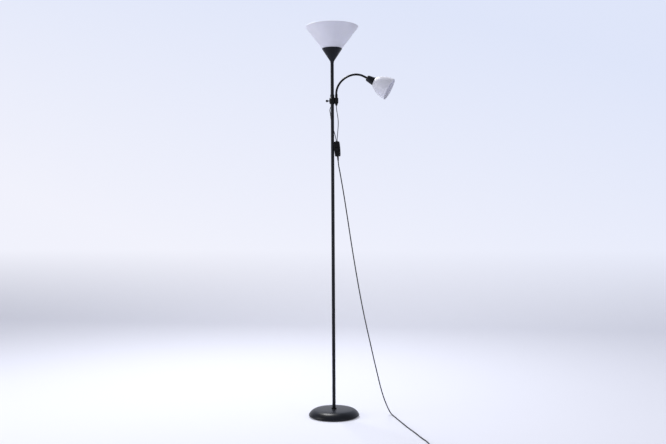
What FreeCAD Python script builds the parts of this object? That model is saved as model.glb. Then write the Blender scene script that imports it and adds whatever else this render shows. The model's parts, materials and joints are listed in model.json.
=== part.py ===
import FreeCAD, Part
import math
import os

V = FreeCAD.Vector

# Torchiere floor lamp with a reading light on a bendable arm. Sizes are in millimetres.
# The floor is z = 0, the pole stands on the z axis and the reading arm points along +x.

# ---------------------------------------------------------------- base
FELT_THICKNESS = 2.0
FELT_INSET = 2.0                  # felt edge inside the cover's foot
BASE_RADIUS = 114.0               # widest part
FOOT_INSET = 7.0                  # foot's edge inside the widest part
BASE_FOOT_RADIUS = BASE_RADIUS - FOOT_INSET  # where the cover meets the felt
BASE_WIDEST_Z = 9.0
FOOT_TUCK = 1.8                   # how much the foot's round bulges
SHOULDER_ROUND = 42.0             # radius of the shoulder, seen from the side
SHOULDER_INSET = 28.0             # where the shoulder meets the crown, inside the widest part
SHOULDER_RADIUS = BASE_RADIUS - SHOULDER_INSET
SHOULDER_Z = 33.2
BASE_TOP_Z = 35.5
BASE_FLAT_RADIUS = 24.0           # flat seat at the middle of the crown
COVER_WALL = 1.2
WEIGHT_GAP = 0.6                  # between the weight and the cover's side
WEIGHT_THICKNESS = 10.0
WEIGHT_EDGE = 2.0                 # chamfer
WEIGHT_BOSS_RADIUS = 20.0
WEIGHT_BOSS_FLARE = 6.0
NUT_RECESS_RADIUS = 13.0
NUT_RECESS_DEPTH = 12.0

# ---------------------------------------------------------------- pole
POLE_RADIUS = 7.5
POLE_WALL = 0.9
POLE_SECTIONS = 4
SECTION_LENGTH = 392.0
INSERT_LENGTH = 16.0              # threaded insert pressed into each end of a section
STUD_RADIUS = 5.0                 # hollow threaded stud
STUD_BORE = 3.4
STUD_REACH = 14.0                 # how far a stud goes into a section
STUD_END = 2.5                    # stud beyond its nut
FOOT_RING_RADIUS = 13.5
FOOT_RING_HEIGHT = 4.5
FOOT_RING_EDGE = 2.0
NUT_FLATS = 14.0
NUT_HEIGHT = 5.0
WASHER_RADIUS = 11.0
WASHER_THICKNESS = 1.5

# ---------------------------------------------------------------- uplight at the top of the pole
CUP_SKIRT = 5.0                   # how far the cup reaches down over the pole
CUP_SKIRT_WALL = 1.0
CUP_FLOOR = 5.0
CUP_RADIUS = 46.0
CUP_HEIGHT = 57.0
CUP_WALL = 1.3
UP_SHADE_HEIGHT = 99.5            # what shows of the shade above the cup
UP_SHADE_RADIUS = 119.5
UP_SHADE_WALL = 2.0
UP_SHADE_SINK = 24.5              # how far the shade reaches down into the cup
SHADE_GAP = 0.6                   # between the shade and the cup's mouth
BIG_HOLDER_RISE = 1.0             # lampholder above the cup's nut

# ---------------------------------------------------------------- lampholders and bulbs
BIG_BARREL_RADIUS = 19.5          # large holder, for the uplight
BIG_SHELL_RADIUS = 13.6           # inside of its screw shell
BIG_BARREL_RISE = 24.0            # mouth above the flange
BIG_BODY_RADIUS = 17.0
SMALL_BARREL_RADIUS = 13.4        # small holder, for the reading light
SMALL_SHELL_RADIUS = 7.4
SMALL_BARREL_RISE = 14.0
SMALL_BODY_RADIUS = 12.4
HOLDER_FLANGE = 3.0               # thickness
FLANGE_REACH = 3.2                # flange beyond the barrel
BODY_FOOT = 0.66                  # radius of the body's lower end, as a share of the body's
SHELL_WALL = 0.4
SHELL_LIP = 1.0                   # screw shell below the holder's mouth
SHELL_FOOT_GAP = 2.0              # holder's floor below the screw shell
WIRE_PASSAGE = 2.5                # radius of the hole through the holder's floor
STUD_END_GAP = 1.0                # holder's floor above the threaded end that it is screwed on
CONTACT_RADIUS = 5.0
CONTACT_THICKNESS = 0.8
CONTACT_NUB_RADIUS = 2.2
SCREW_GAP = 0.3                   # between a bulb's cap and the screw shell
SHADE_RING_WALL = 4.5
SHADE_RING_HEIGHT = 6.0
SHADE_RING_GRIP = 1.5             # radius of the bead round a shade ring
SHADE_FOOT_REACH = 1.2            # flat foot of the uplight's shade beyond its ring
CAP_TIP_SHARE = 0.45              # radius of a bulb cap's tip, as a share of the cap's
CAP_TAPER_SHARE = 0.22            # height of the cap's tapered end, as a share of its length
BULB_NECK_REACH = 0.36            # where the neck's curve passes, as shares of the way out and up
BULB_NECK_RISE = 0.42
BIG_BULB_RADIUS = 29.0
BIG_BULB_LENGTH = 79.0            # glass only
BIG_CAP_LENGTH = 22.0
SMALL_BULB_RADIUS = 20.0
SMALL_BULB_LENGTH = 52.0
SMALL_CAP_LENGTH = 19.0
BULB_WALL = 0.8
BULB_CAP_SHOW = 2.0               # cap above the holder's mouth

# ---------------------------------------------------------------- clamp that carries the arm
CLAMP_DROP = 178.0                # middle of the clamp below the pole's top
CLAMP_HEIGHT = 25.5
CLAMP_RADIUS = 13.4
CLAMP_CHAMFER = 2.0
LINER_WALL = 1.7                  # nylon liner between pole and clamp
LINER_RISE = 14.5                 # liner above the clamp
SLIDE_FIT = 0.08                  # radial play of the liner on the pole
TURN_FIT = 0.08                   # radial play of the clamp on the liner
LINER_LIP = 1.3                   # lips that hold the clamp on its liner
LINER_LIP_HEIGHT = 1.6
LIP_GAP = 0.3
ARM_OFFSET = 18.5                 # pole axis to the arm's axis
ARM_LOBE_RADIUS = 9.2
ARM_NECK_WALL = 1.2
ARM_NECK_EDGE = 0.72              # chamfer
ARM_NECK_RISE = 16.0
BRIDGE_WIDTH = 11.0
GLAND_LENGTH = 10.0
GLAND_TIP_WALL = 2.2
GLAND_RADIUS = 6.3
GLAND_HEAD = 2.0                  # straight part under the clamp
GLAND_EDGE = 0.8
SCREW_RADIUS = 2.5
SCREW_FIT = 0.05
SCREW_HOLE_GAP = 0.3
SCREW_TIP_GAP = 0.3
SHANK_SHOW = 7.5                  # shank between the clamp and the wing
WING_HUB_RADIUS = 3.3
WING_LENGTH = 8.0
WING_SPAN = 21.0
WING_THICKNESS = 5.0
WING_ROUND = 1.4
WING_SWEEP = 1.0                  # wing tips behind the hub's face
WING_TAPER = 2.4                  # how much narrower the wing's outer edge is
SQUARE_NUT_FLATS = 8.0
SQUARE_NUT_THICKNESS = 2.4
NUT_COVER = 0.4                   # clamp wall between the nut and the liner
SHANK_IN_WING = 4.8               # how far the shank goes into the wing

# ---------------------------------------------------------------- bendable arm
ARM_RADIUS = 4.8
ARM_BORE = 2.1
ARM_ARCS = ((78.0, 36.0), (93.5, 45.0), (78.0, 37.5))   # radius and turn, starting straight up
ARM_RISE = 17.8                   # straight part above the clamp
ARM_END_RUN = 16.5                # straight part before the reading cup
ARM_LINKS = 8
FIRST_PIVOT_RISE = 7.0            # first pivot above the arm's neck on the clamp
LAST_LINK_LENGTH = 24.0           # last pivot to the back of the reading cup
BALL_CLEARANCE = 0.3

# ---------------------------------------------------------------- reading head
READ_CUP_LENGTH = 38.0
READ_CUP_RADIUS = 18.6
READ_CUP_WALL = 1.3
READ_CUP_BACK = ((8.6, 0.0), (12.2, 6.0), (14.8, 19.0))  # radius, distance from the back end
READ_CUP_SEAT_INSET = 0.52        # edge of the flat under the nut, inside the back end's edge
READ_TAIL = 12.0                 # arm's threaded end inside the cup
READ_NUT_FLATS = 12.0
READ_NUT_HEIGHT = 4.0
READ_HOLDER_OVERLAP = 1.5         # how far the arm's end sits in the lampholder
READ_SHADE_LENGTH = 78.0
READ_SHADE_NECK = 19.4
READ_SHADE_BELL = ((28.0, 8.0), (37.6, 24.0), (44.4, 42.0), (48.0, 57.0))  # radius, from the cup
READ_SHADE_RADIUS = 50.4
READ_SHADE_WALL = 1.8
READ_SHADE_FOOT_INSET = 0.36      # edge of the shade's floor, inside its neck
READ_SHADE_LIFT = 0.5             # foot of the shade beyond the cup's mouth

# ---------------------------------------------------------------- double switch on the cord
SWITCH_X = 21.6
SWITCH_Z = 1207.5
SWITCH_LEAN = 4.0                 # degrees, top towards the pole
SWITCH_HEIGHT = 66.0
SWITCH_WIDTH = 26.6
SWITCH_END_WIDTH = 23.0
SWITCH_END_CROWN = 1.2
SWITCH_DEPTH = 19.0
SWITCH_ROUND = 4.0
SWITCH_WALL = 1.7
WELL_WIDTH = 12.6
WELL_WALL = 1.5
WELL_BACK_Y = -0.5                # back of the well, just in front of the parting line
ROCKER_HALF = 8.4                 # half the length of a rocker
ROCKER_PITCH = 18.2               # between the two pivots
ROCKER_RAISE = 6.5                # middle of the pair above the switch's middle
ROCKER_GAP = 0.4
ROCKER_TILT = 8.0                 # degrees each way
ROCKER_PROUD = 0.4
PIVOT_DEPTH = 2.5                 # pivot below the switch's face
ROCKER_TAIL = 3.0                 # rocker behind its pivot
PIN_RADIUS = 1.2
PIN_FIT = 0.05
DIVIDER = 0.6                     # wall between the two rockers
DIVIDER_SUNK = 0.6                # its front edge below the switch's face
STRIP_WIDTH = 4.0                # brass strips behind the rockers
STRIP_RISE = 4.0
STRIP_THICKNESS = 1.2
CASE_SCREW_DROP = 21.5            # screw below the switch's middle
CASE_SCREW_RADIUS = 1.5
CASE_SCREW_HEAD = 2.8
CASE_SCREW_SUNK = 0.6             # screw head below the back of the case
CASE_HEAD_HEIGHT = 1.8
CASE_SHANK_LENGTH = 11.0
CASE_POST_RADIUS = 3.4
CABLE_PLACES = (-2.3, 2.3)        # the two cables at the switch, across it

# ---------------------------------------------------------------- cables, cord and plug
CABLE_RADIUS = 1.7
CORD_RADIUS = 2.5
RELIEF_LENGTH = 22.0
RELIEF_WALL = 1.9
RELIEF_TIP_WALL = 0.7
TOP_RELIEF_RISE = 3.0
TOP_RELIEF_WALL = 1.3
OUTLET_WALL = 2.0
OUTLET_INNER = 6.5                # from the pole's axis to the outlet's inner end
OUTLET_PLACE = (-6.6, 7.5)        # middle of the outlet's face, seen from above
OUTLET_DROP = 23.0                # middle of the outlet's face below the clamp's middle
OUTLET_SLOPE = (-3.04, 3.45, -3.86)   # the way that the outlet points
CLIP_WALL = 0.9
CLIP_PLACE = (-9.1, 6.2, 1363.0)  # the point of the cable's route that the clip holds
CLIP_HEIGHT = 7.0
PLUG_WIDTH = 33.0
PLUG_THICKNESS = 13.6
PLUG_LENGTH = 30.0
PLUG_TAIL_WIDTH = 14.0
PLUG_TAIL_THICKNESS = 10.0
PLUG_RELIEF_LENGTH = 22.0
PLUG_RELIEF_WALL = 0.8            # at the relief's thin end
PLUG_SHOULDER = 16.5              # where the plug reaches its full width
PLUG_PIN_RADIUS = 2.0
PLUG_PIN_LENGTH = 19.0
PLUG_PIN_SPACING = 18.6
PLUG_PIN_ROOT = 8.0               # pin inside the plug
PLUG_SLEEVE_RADIUS = 1.7          # sleeved part of a pin
PLUG_SLEEVE_LENGTH = 10.0
PLUG_PIN_ROUND = 1.2              # round at a pin's tip

# Routes chosen by eye, in millimetres. The uplight's cable leaves the pole behind the clamp,
# goes round the back of the pole and enters the switch next to the reading light's cable.
LAMP_CABLE_ROUTE = [
    (-6.6, 7.5, 1402.5), (-9.64, 10.95, 1398.64), (-11.9, 12.7, 1391.5), (-12.1, 11.8, 1382.5),
    (-10.6, 8.6, 1373.5), (-9.1, 6.2, 1363.0), (-8.7, 6.5, 1350.5), (-7.1, 8.5, 1335.5),
    (-3.9, 10.5, 1319.0), (0.9, 11.3, 1302.0), (6.0, 9.9, 1286.0), (10.2, 7.0, 1271.5),
    (13.4, 3.0, 1260.0), (16.24, 0.0, 1251.23), (16.79, 0.0, 1243.25)]
READING_CABLE_ROUTE = [
    (18.5, 0.0, 1402.75), (18.8, 0.1, 1392.0), (20.4, 0.5, 1377.0), (23.8, 0.9, 1358.0),
    (26.2, 1.1, 1338.0), (26.6, 1.0, 1318.0), (25.2, 0.8, 1298.0), (23.6, 0.5, 1279.0),
    (22.3, 0.3, 1264.0), (20.69, 0.0, 1253.55), (21.383, 0.0, 1243.57)]
SUPPLY_CORD_ROUTE = [
    (25.437, 0.0, 1152.634), (26.693, 0.0, 1134.68), (31.6, 1.4, 1110.0), (37.2, 3.5, 1076.0),
    (45.0, 6.1, 1028.0), (54.7, 9.2, 964.0), (64.7, 12.5, 894.0), (74.6, 16.2, 822.0),
    (84.9, 20.2, 750.0),
    (95.7, 24.5, 678.0), (107.0, 29.0, 606.0), (118.9, 33.8, 534.0), (131.9, 39.0, 462.0),
    (146.2, 44.7, 390.0), (161.1, 50.3, 320.0), (175.6, 56.0, 250.0), (190.0, 61.6, 184.0),
    (204.2, 67.2, 124.0), (217.6, 72.0, 79.0), (231.0, 76.4, 47.0), (244.6, 77.0, 22.5),
    (257.0, 68.0, 7.5), (266.6, 48.0, 2.9), (278.4, 17.6, 2.6), (297.6, -34.8, 2.6),
    (319.8, -91.0, 2.6), (342.0, -147.6, 2.6), (366.3, -203.5, 2.6), (391.2, -259.2, 2.6),
    (416.3, -315.6, 2.6), (441.2, -369.6, 2.6), (462.0, -424.0, 2.6), (470.5, -474.0, 2.6),
    (461.0, -516.0, 2.6), (436.0, -543.0, 3.4), (408.0, -556.0, 6.8), (388.0, -563.0, 6.8)]
TOUCHING = 1e-6                   # two lengths closer than this are the same


def outline_edges(steps):
    """Closed loop in the xz plane: (r, z), or a pair of them for an arc, or a list for a curve."""
    first = V(steps[0][0], 0, steps[0][1])
    here = first
    edges = []
    for step in steps[1:]:
        if isinstance(step, list):
            curve = Part.BSplineCurve()
            curve.interpolate([here] + [V(r, 0, z) for r, z in step])
            edges.append(curve.toShape())
            end = V(step[-1][0], 0, step[-1][1])
        elif isinstance(step[0], tuple):
            end = V(step[1][0], 0, step[1][1])
            edges.append(Part.Arc(here, V(step[0][0], 0, step[0][1]), end).toShape())
        else:
            end = V(step[0], 0, step[1])
            edges.append(Part.LineSegment(here, end).toShape())
        here = end
    edges.append(Part.LineSegment(here, first).toShape())
    return edges


def lathe(steps):
    """A body turned round the z axis from a closed outline."""
    face = Part.Face(Part.Wire(outline_edges(steps)))
    return face.revolve(V(0, 0, 0), V(0, 0, 1), 360)


def tube(outer, inner, z_low, z_high):
    """An upright round tube on the z axis."""
    height = z_high - z_low
    body = Part.makeCylinder(outer, height, V(0, 0, z_low))
    return body.cut(Part.makeCylinder(inner, height, V(0, 0, z_low)))


def rod(radius, start, end):
    """A round rod between two points."""
    along = end - start
    return Part.makeCylinder(radius, along.Length, start, along)


def block(low, high):
    """A box between two corners."""
    size = high - low
    return Part.makeBox(size.x, size.y, size.z, low)


def hexagon_nut(flats, bore, z_low, height):
    """An upright hexagonal nut."""
    corner = flats / 2 / math.cos(math.radians(30))
    turns = [math.radians(60 * k) for k in range(6)]
    points = [V(corner * math.cos(turn), corner * math.sin(turn), z_low) for turn in turns]
    bar = Part.Face(Part.makePolygon(points + points[:1])).extrude(V(0, 0, height))
    return bar.cut(Part.makeCylinder(bore, height, V(0, 0, z_low)))


def sweep(edges, radius):
    """A round bar along a path of edges that meet tangentially."""
    path = Part.Wire(edges)
    start = path.OrderedEdges[0]
    where = start.valueAt(start.FirstParameter)
    along = start.tangentAt(start.FirstParameter)
    ring = Part.Wire(Part.makeCircle(radius, where, along).Edges)
    return path.makePipeShell([ring], True, False).Solids[0]


def route_edges(points):
    """Straight runs joined by tangent arcs, each as large as its two runs allow, and their radii."""
    corners = [V(*p) for p in points]
    edges = []
    radii = []
    here = corners[0]
    for before, corner, after in zip(corners, corners[1:], corners[2:]):
        incoming = corner - before
        outgoing = after - corner
        reach = 0.45 * min(incoming.Length, outgoing.Length)
        incoming.normalize()
        outgoing.normalize()
        half_turn = incoming.getAngle(outgoing) / 2
        radius = reach / math.tan(half_turn)
        inward = outgoing - incoming
        inward.normalize()
        sagitta = radius / math.cos(half_turn) - radius
        arc_start = corner - incoming * reach
        arc_end = corner + outgoing * reach
        edges.append(Part.LineSegment(here, arc_start).toShape())
        edges.append(Part.Arc(arc_start, corner + inward * sagitta, arc_end).toShape())
        radii.append(radius)
        here = arc_end
    edges.append(Part.LineSegment(here, corners[-1]).toShape())
    return edges, radii


def cable(name, points, radius):
    """A free cable's tube. Its smallest radii and its volume are printed."""
    edges, radii = route_edges(points)
    body = cable_tube(points, radius)
    length = sum(edge.Length for edge in edges)
    share = body.Volume / (math.pi * radius ** 2 * length)
    print(name, "length", round(length, 1), "arc radii", [round(r) for r in radii])
    print(name, "volume over section times length", round(share, 5))
    return body


# ---------------------------------------------------------------- base pieces
def shoulder_points(inset):
    """Start, middle and end of the shoulder's arc, set in from the outer surface."""
    widest = V(BASE_RADIUS, 0, BASE_WIDEST_Z)
    crown = V(SHOULDER_RADIUS, 0, SHOULDER_Z)
    chord = crown - widest
    inward = V(-chord.z, 0, chord.x)
    inward.normalize()
    drop = math.sqrt(SHOULDER_ROUND ** 2 - (chord.Length / 2) ** 2)
    centre = (widest + crown) * 0.5 + inward * drop
    ways = [widest - centre, inward * -1, crown - centre]
    for way in ways:
        way.normalize()
    places = [centre + way * (SHOULDER_ROUND - inset) for way in ways]
    return [(place.x, place.z) for place in places]


def base_cover():
    """Pressed steel dome: tucked foot, round shoulder and nearly flat crown."""
    outer = shoulder_points(0)
    inner = shoulder_points(COVER_WALL)
    tuck_r = (BASE_RADIUS + BASE_FOOT_RADIUS) / 2 + FOOT_TUCK
    tuck_z = (BASE_WIDEST_Z + FELT_THICKNESS) / 2 - FOOT_TUCK / 2
    under = BASE_TOP_Z - COVER_WALL
    return lathe([
        (STUD_RADIUS, BASE_TOP_Z), (BASE_FLAT_RADIUS, BASE_TOP_Z), outer[2], (outer[1], outer[0]),
        ((tuck_r, tuck_z), (BASE_FOOT_RADIUS, FELT_THICKNESS)),
        (BASE_FOOT_RADIUS - COVER_WALL, FELT_THICKNESS),
        ((tuck_r - COVER_WALL, tuck_z), inner[0]), (inner[1], inner[2]),
        (BASE_FLAT_RADIUS, under), (STUD_RADIUS, under)])


def base_weight():
    """Cast disc with a boss that carries the crown, and a recess for the nut."""
    side = BASE_FOOT_RADIUS - COVER_WALL - WEIGHT_GAP
    top = BASE_TOP_Z - COVER_WALL
    disc_top = FELT_THICKNESS + WEIGHT_THICKNESS
    recess_top = FELT_THICKNESS + NUT_RECESS_DEPTH
    return lathe([
        (NUT_RECESS_RADIUS, FELT_THICKNESS), (side, FELT_THICKNESS), (side, disc_top - WEIGHT_EDGE),
        (side - WEIGHT_EDGE, disc_top), (WEIGHT_BOSS_RADIUS + WEIGHT_BOSS_FLARE, disc_top),
        (WEIGHT_BOSS_RADIUS, disc_top + WEIGHT_BOSS_FLARE), (WEIGHT_BOSS_RADIUS, top),
        (STUD_RADIUS, top), (STUD_RADIUS, recess_top), (NUT_RECESS_RADIUS, recess_top)])


def base_felt():
    """Felt disc glued under the base."""
    return Part.makeCylinder(BASE_FOOT_RADIUS - FELT_INSET, FELT_THICKNESS)


def base_washer():
    """Washer between the weight and its nut."""
    return tube(WASHER_RADIUS, STUD_RADIUS, BASE_NUT_TOP, BASE_NUT_TOP + WASHER_THICKNESS)


def foot_ring():
    """Moulded ring that hides the joint between pole and base."""
    top = BASE_TOP_Z + FOOT_RING_HEIGHT
    return lathe([
        (POLE_RADIUS, BASE_TOP_Z), (FOOT_RING_RADIUS, BASE_TOP_Z),
        (FOOT_RING_RADIUS, top - FOOT_RING_EDGE), (FOOT_RING_RADIUS - FOOT_RING_EDGE, top),
        (POLE_RADIUS, top)])


# ---------------------------------------------------------------- pole pieces
BASE_NUT_TOP = FELT_THICKNESS + NUT_RECESS_DEPTH - WASHER_THICKNESS
POLE_TOP_Z = BASE_TOP_Z + POLE_SECTIONS * SECTION_LENGTH
POLE_INSIDE = POLE_RADIUS - POLE_WALL
CUP_NUT_Z = POLE_TOP_Z + CUP_FLOOR
CLAMP_Z = POLE_TOP_Z - CLAMP_DROP
CLAMP_LOW = CLAMP_Z - CLAMP_HEIGHT / 2
CLAMP_HIGH = CLAMP_Z + CLAMP_HEIGHT / 2
OUTLET_WAY = V(*OUTLET_SLOPE).normalize()
OUTLET_REACH = math.hypot(*OUTLET_PLACE) / math.hypot(OUTLET_WAY.x, OUTLET_WAY.y)
OUTLET_CENTRE = V(0, 0, CLAMP_Z - OUTLET_DROP - OUTLET_WAY.z * OUTLET_REACH)
OUTLET_NECK = CABLE_RADIUS + OUTLET_WALL / 2


def section_ends(index):
    """Lower and upper end of one section of the pole."""
    low = BASE_TOP_Z + index * SECTION_LENGTH
    return low, low + SECTION_LENGTH


def outlet_rod(radius, near, far):
    """Round rod along the sloping cable outlet, between two distances from the pole's axis."""
    return rod(radius, OUTLET_CENTRE + OUTLET_WAY * near, OUTLET_CENTRE + OUTLET_WAY * far)


def pole_section(index):
    """One painted steel tube of the pole. The top one has the cable outlet's hole."""
    low, high = section_ends(index)
    section = tube(POLE_RADIUS, POLE_INSIDE, low, high)
    if low < OUTLET_CENTRE.z < high:
        section = section.cut(outlet_rod(OUTLET_NECK, 0, OUTLET_REACH))
    return section


def pole_inserts():
    """Threaded inserts, one in each end of every section."""
    inserts = []
    for index in range(POLE_SECTIONS):
        low, high = section_ends(index)
        inserts.append(tube(POLE_INSIDE, STUD_RADIUS, low, low + INSERT_LENGTH))
        inserts.append(tube(POLE_INSIDE, STUD_RADIUS, high - INSERT_LENGTH, high))
    return Part.makeCompound(inserts)


def pole_studs():
    """Hollow threaded studs: at the foot, between the sections and at the top."""
    foot_end = BASE_NUT_TOP - NUT_HEIGHT - STUD_END
    studs = [tube(STUD_RADIUS, STUD_BORE, foot_end, BASE_TOP_Z + STUD_REACH)]
    for index in range(1, POLE_SECTIONS):
        joint = section_ends(index)[0]
        studs.append(tube(STUD_RADIUS, STUD_BORE, joint - STUD_REACH, joint + STUD_REACH))
    top_end = CUP_NUT_Z + NUT_HEIGHT + STUD_END
    studs.append(tube(STUD_RADIUS, STUD_BORE, POLE_TOP_Z - STUD_REACH, top_end))
    return Part.makeCompound(studs)


def pole_nuts():
    """The nut under the weight and the one inside the uplight's cup."""
    base_nut = hexagon_nut(NUT_FLATS, STUD_RADIUS, BASE_NUT_TOP - NUT_HEIGHT, NUT_HEIGHT)
    cup_nut = hexagon_nut(NUT_FLATS, STUD_RADIUS, CUP_NUT_Z, NUT_HEIGHT)
    return Part.makeCompound([base_nut, cup_nut])


def cable_outlet():
    """Rubber grommet in the pole's cable hole, sloping down and outwards."""
    low = OUTLET_CENTRE.z - 2 * OUTLET_REACH
    high = OUTLET_CENTRE.z + OUTLET_REACH
    pole_space = rod(POLE_RADIUS, V(0, 0, low), V(0, 0, high))
    collar = outlet_rod(CABLE_RADIUS + OUTLET_WALL, OUTLET_INNER, OUTLET_REACH).cut(pole_space)
    neck = outlet_rod(OUTLET_NECK, OUTLET_INNER, OUTLET_REACH)
    return collar.fuse(neck).cut(outlet_rod(CABLE_RADIUS, 0, OUTLET_REACH)).removeSplitter()


def pole_wire():
    """Cable inside the pole, from the outlet up to the uplight's lampholder."""
    start = OUTLET_CENTRE + OUTLET_WAY * OUTLET_INNER
    contact = V(0, 0, holder_floor(BIG_MOUTH_Z, BIG_CAP_LENGTH))
    edges = route_edges([start, OUTLET_CENTRE, contact])[0]
    return sweep(edges, CABLE_RADIUS)


def cable_clip():
    """Small clip that holds the uplight's cable on the pole."""
    place = LAMP_CABLE_ROUTE.index(CLIP_PLACE)
    before, at, after = [V(*p) for p in LAMP_CABLE_ROUTE[place - 1:place + 2]]
    lean = (after - before).normalize() * (CLIP_HEIGHT / 2)
    low = V(0, 0, at.z - CLIP_HEIGHT)
    high = V(0, 0, at.z + CLIP_HEIGHT)
    ring = rod(CABLE_RADIUS + CLIP_WALL, at - lean, at + lean)
    foot = rod(CLIP_HEIGHT / 2, at, V(0, 0, at.z))
    clip = ring.fuse(foot).cut(rod(POLE_RADIUS, low, high))
    return clip.cut(cable_tube(LAMP_CABLE_ROUTE, CABLE_RADIUS)).removeSplitter()


def cable_tube(points, radius):
    """The tube of a free cable, without its report."""
    return sweep(route_edges(points)[0], radius)


# ---------------------------------------------------------------- uplight pieces
CUP_MOUTH_Z = POLE_TOP_Z + CUP_HEIGHT
BIG_SEAT_Z = CUP_MOUTH_Z - UP_SHADE_SINK
BIG_MOUTH_Z = BIG_SEAT_Z + BIG_BARREL_RISE
CUP_SLOPE = (CUP_RADIUS - POLE_RADIUS - CUP_SKIRT_WALL) / CUP_HEIGHT
CUP_WALL_ACROSS = CUP_WALL * math.sqrt(1 + CUP_SLOPE ** 2)


def uplight_cup():
    """Black cone under the uplight's shade, with a skirt round the top of the pole."""
    skirt = POLE_RADIUS + CUP_SKIRT_WALL
    floor_inside = skirt + CUP_SLOPE * CUP_FLOOR - CUP_WALL_ACROSS
    return lathe([
        (POLE_RADIUS, POLE_TOP_Z - CUP_SKIRT), (skirt, POLE_TOP_Z - CUP_SKIRT),
        (skirt, POLE_TOP_Z), (CUP_RADIUS, CUP_MOUTH_Z), (CUP_RADIUS - CUP_WALL_ACROSS, CUP_MOUTH_Z),
        (floor_inside, CUP_NUT_Z), (STUD_RADIUS, CUP_NUT_Z), (STUD_RADIUS, POLE_TOP_Z),
        (POLE_RADIUS, POLE_TOP_Z)])


def holder_floor(mouth, cap_length):
    """Height of the floor that a lampholder's centre contact stands on."""
    return mouth - SHELL_LIP - cap_length - SHELL_FOOT_GAP


def lampholder(barrel, body, shell, z_foot, z_seat, mouth, cap_length, stud_radius, stud_top):
    """Moulded lampholder: body, flange that the shade stands on, and threaded barrel."""
    flange_low = z_seat - HOLDER_FLANGE
    floor_z = holder_floor(mouth, cap_length)
    recess_top = stud_top + STUD_END_GAP
    shoulder_z = (z_foot + flange_low) / 2
    return lathe([
        (stud_radius, z_foot), (body * BODY_FOOT, z_foot), (body, shoulder_z), (body, flange_low),
        (barrel + FLANGE_REACH, flange_low), (barrel + FLANGE_REACH, z_seat), (barrel, z_seat),
        (barrel, mouth), (shell + SHELL_WALL, mouth), (shell + SHELL_WALL, floor_z),
        (WIRE_PASSAGE, floor_z), (WIRE_PASSAGE, recess_top), (stud_radius, recess_top)])


def centre_contact(mouth, cap_length):
    """Brass contact on a lampholder's floor that the bulb's cap stands on."""
    floor_z = holder_floor(mouth, cap_length)
    plate_z = floor_z + CONTACT_THICKNESS
    cap_z = mouth + BULB_CAP_SHOW - cap_length
    return lathe([
        (0, floor_z), (CONTACT_RADIUS, floor_z), (CONTACT_RADIUS, plate_z),
        (CONTACT_NUB_RADIUS, plate_z), (CONTACT_NUB_RADIUS, cap_z), (0, cap_z)])


def screw_shell(shell, mouth, cap_length):
    """Brass screw shell inside a lampholder."""
    high = mouth - SHELL_LIP
    return tube(shell + SHELL_WALL, shell, high - cap_length, high)


def shade_ring(barrel, z_low):
    """Threaded ring that holds a shade down on its lampholder."""
    ring = tube(barrel + SHADE_RING_WALL, barrel, z_low, z_low + SHADE_RING_HEIGHT)
    middle = V(0, 0, z_low + SHADE_RING_HEIGHT / 2)
    grip = Part.makeTorus(barrel + SHADE_RING_WALL, SHADE_RING_GRIP, middle)
    return ring.fuse(grip).removeSplitter()


def bulb_cap(shell, mouth, length):
    """Metal screw cap of a bulb, hollow, with its contact at the bottom."""
    outer = shell - SCREW_GAP
    inner = outer - BULB_WALL
    low = mouth + BULB_CAP_SHOW - length
    high = mouth + BULB_CAP_SHOW
    taper = length * CAP_TAPER_SHARE
    return lathe([
        (0, low), (outer * CAP_TIP_SHARE, low), (outer, low + taper), (outer, high),
        (inner, high), (inner, low + taper + BULB_WALL),
        (inner * CAP_TIP_SHARE, low + BULB_WALL), (0, low + BULB_WALL)])


def bulb_glass(shell, mouth, radius, length):
    """Round glass envelope, open where it is cemented into the cap."""
    neck = shell - SCREW_GAP
    low = mouth + BULB_CAP_SHOW
    belly = low + length - radius
    inner = radius - BULB_WALL
    swell_r = neck + (radius - neck) * BULB_NECK_REACH
    swell_z = low + (belly - low) * BULB_NECK_RISE
    slant = math.cos(math.radians(45))
    return lathe([
        (neck, low), [(swell_r, swell_z), (radius, belly)],
        ((radius * slant, belly + radius * slant), (0, low + length)),
        (0, low + length - BULB_WALL),
        ((inner * slant, belly + inner * slant), (inner, belly)),
        [(swell_r - BULB_WALL, swell_z), (neck - BULB_WALL, low)]])


def uplight_holder():
    """Lampholder of the uplight, screwed on the stud above the cup's nut."""
    nut_top = CUP_NUT_Z + NUT_HEIGHT
    return lampholder(BIG_BARREL_RADIUS, BIG_BODY_RADIUS, BIG_SHELL_RADIUS,
                      nut_top + BIG_HOLDER_RISE, BIG_SEAT_Z, BIG_MOUTH_Z, BIG_CAP_LENGTH,
                      STUD_RADIUS, nut_top + STUD_END)


def uplight_shade():
    """Opal cone that stands in the cup on the lampholder's flange."""
    foot = BIG_BARREL_RADIUS + SHADE_RING_WALL + SHADE_FOOT_REACH
    at_cup = CUP_RADIUS - CUP_WALL_ACROSS - SHADE_GAP
    sunk_slope = (at_cup - foot) / UP_SHADE_SINK
    sunk_across = UP_SHADE_WALL * math.sqrt(1 + sunk_slope ** 2)
    inner_foot = foot + sunk_slope * UP_SHADE_WALL - sunk_across
    slope = (UP_SHADE_RADIUS - at_cup) / UP_SHADE_HEIGHT
    across = UP_SHADE_WALL * math.sqrt(1 + slope ** 2)
    rim_z = CUP_MOUTH_Z + UP_SHADE_HEIGHT
    floor_z = BIG_SEAT_Z + UP_SHADE_WALL
    rim = UP_SHADE_RADIUS - across / 2
    return lathe([
        (BIG_BARREL_RADIUS, BIG_SEAT_Z), (foot, BIG_SEAT_Z), (at_cup, CUP_MOUTH_Z),
        (UP_SHADE_RADIUS, rim_z - across / 2),
        ((rim, rim_z), (UP_SHADE_RADIUS - across, rim_z - across / 2)),
        (at_cup - across, CUP_MOUTH_Z), (inner_foot, floor_z), (BIG_BARREL_RADIUS, floor_z)])


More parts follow.
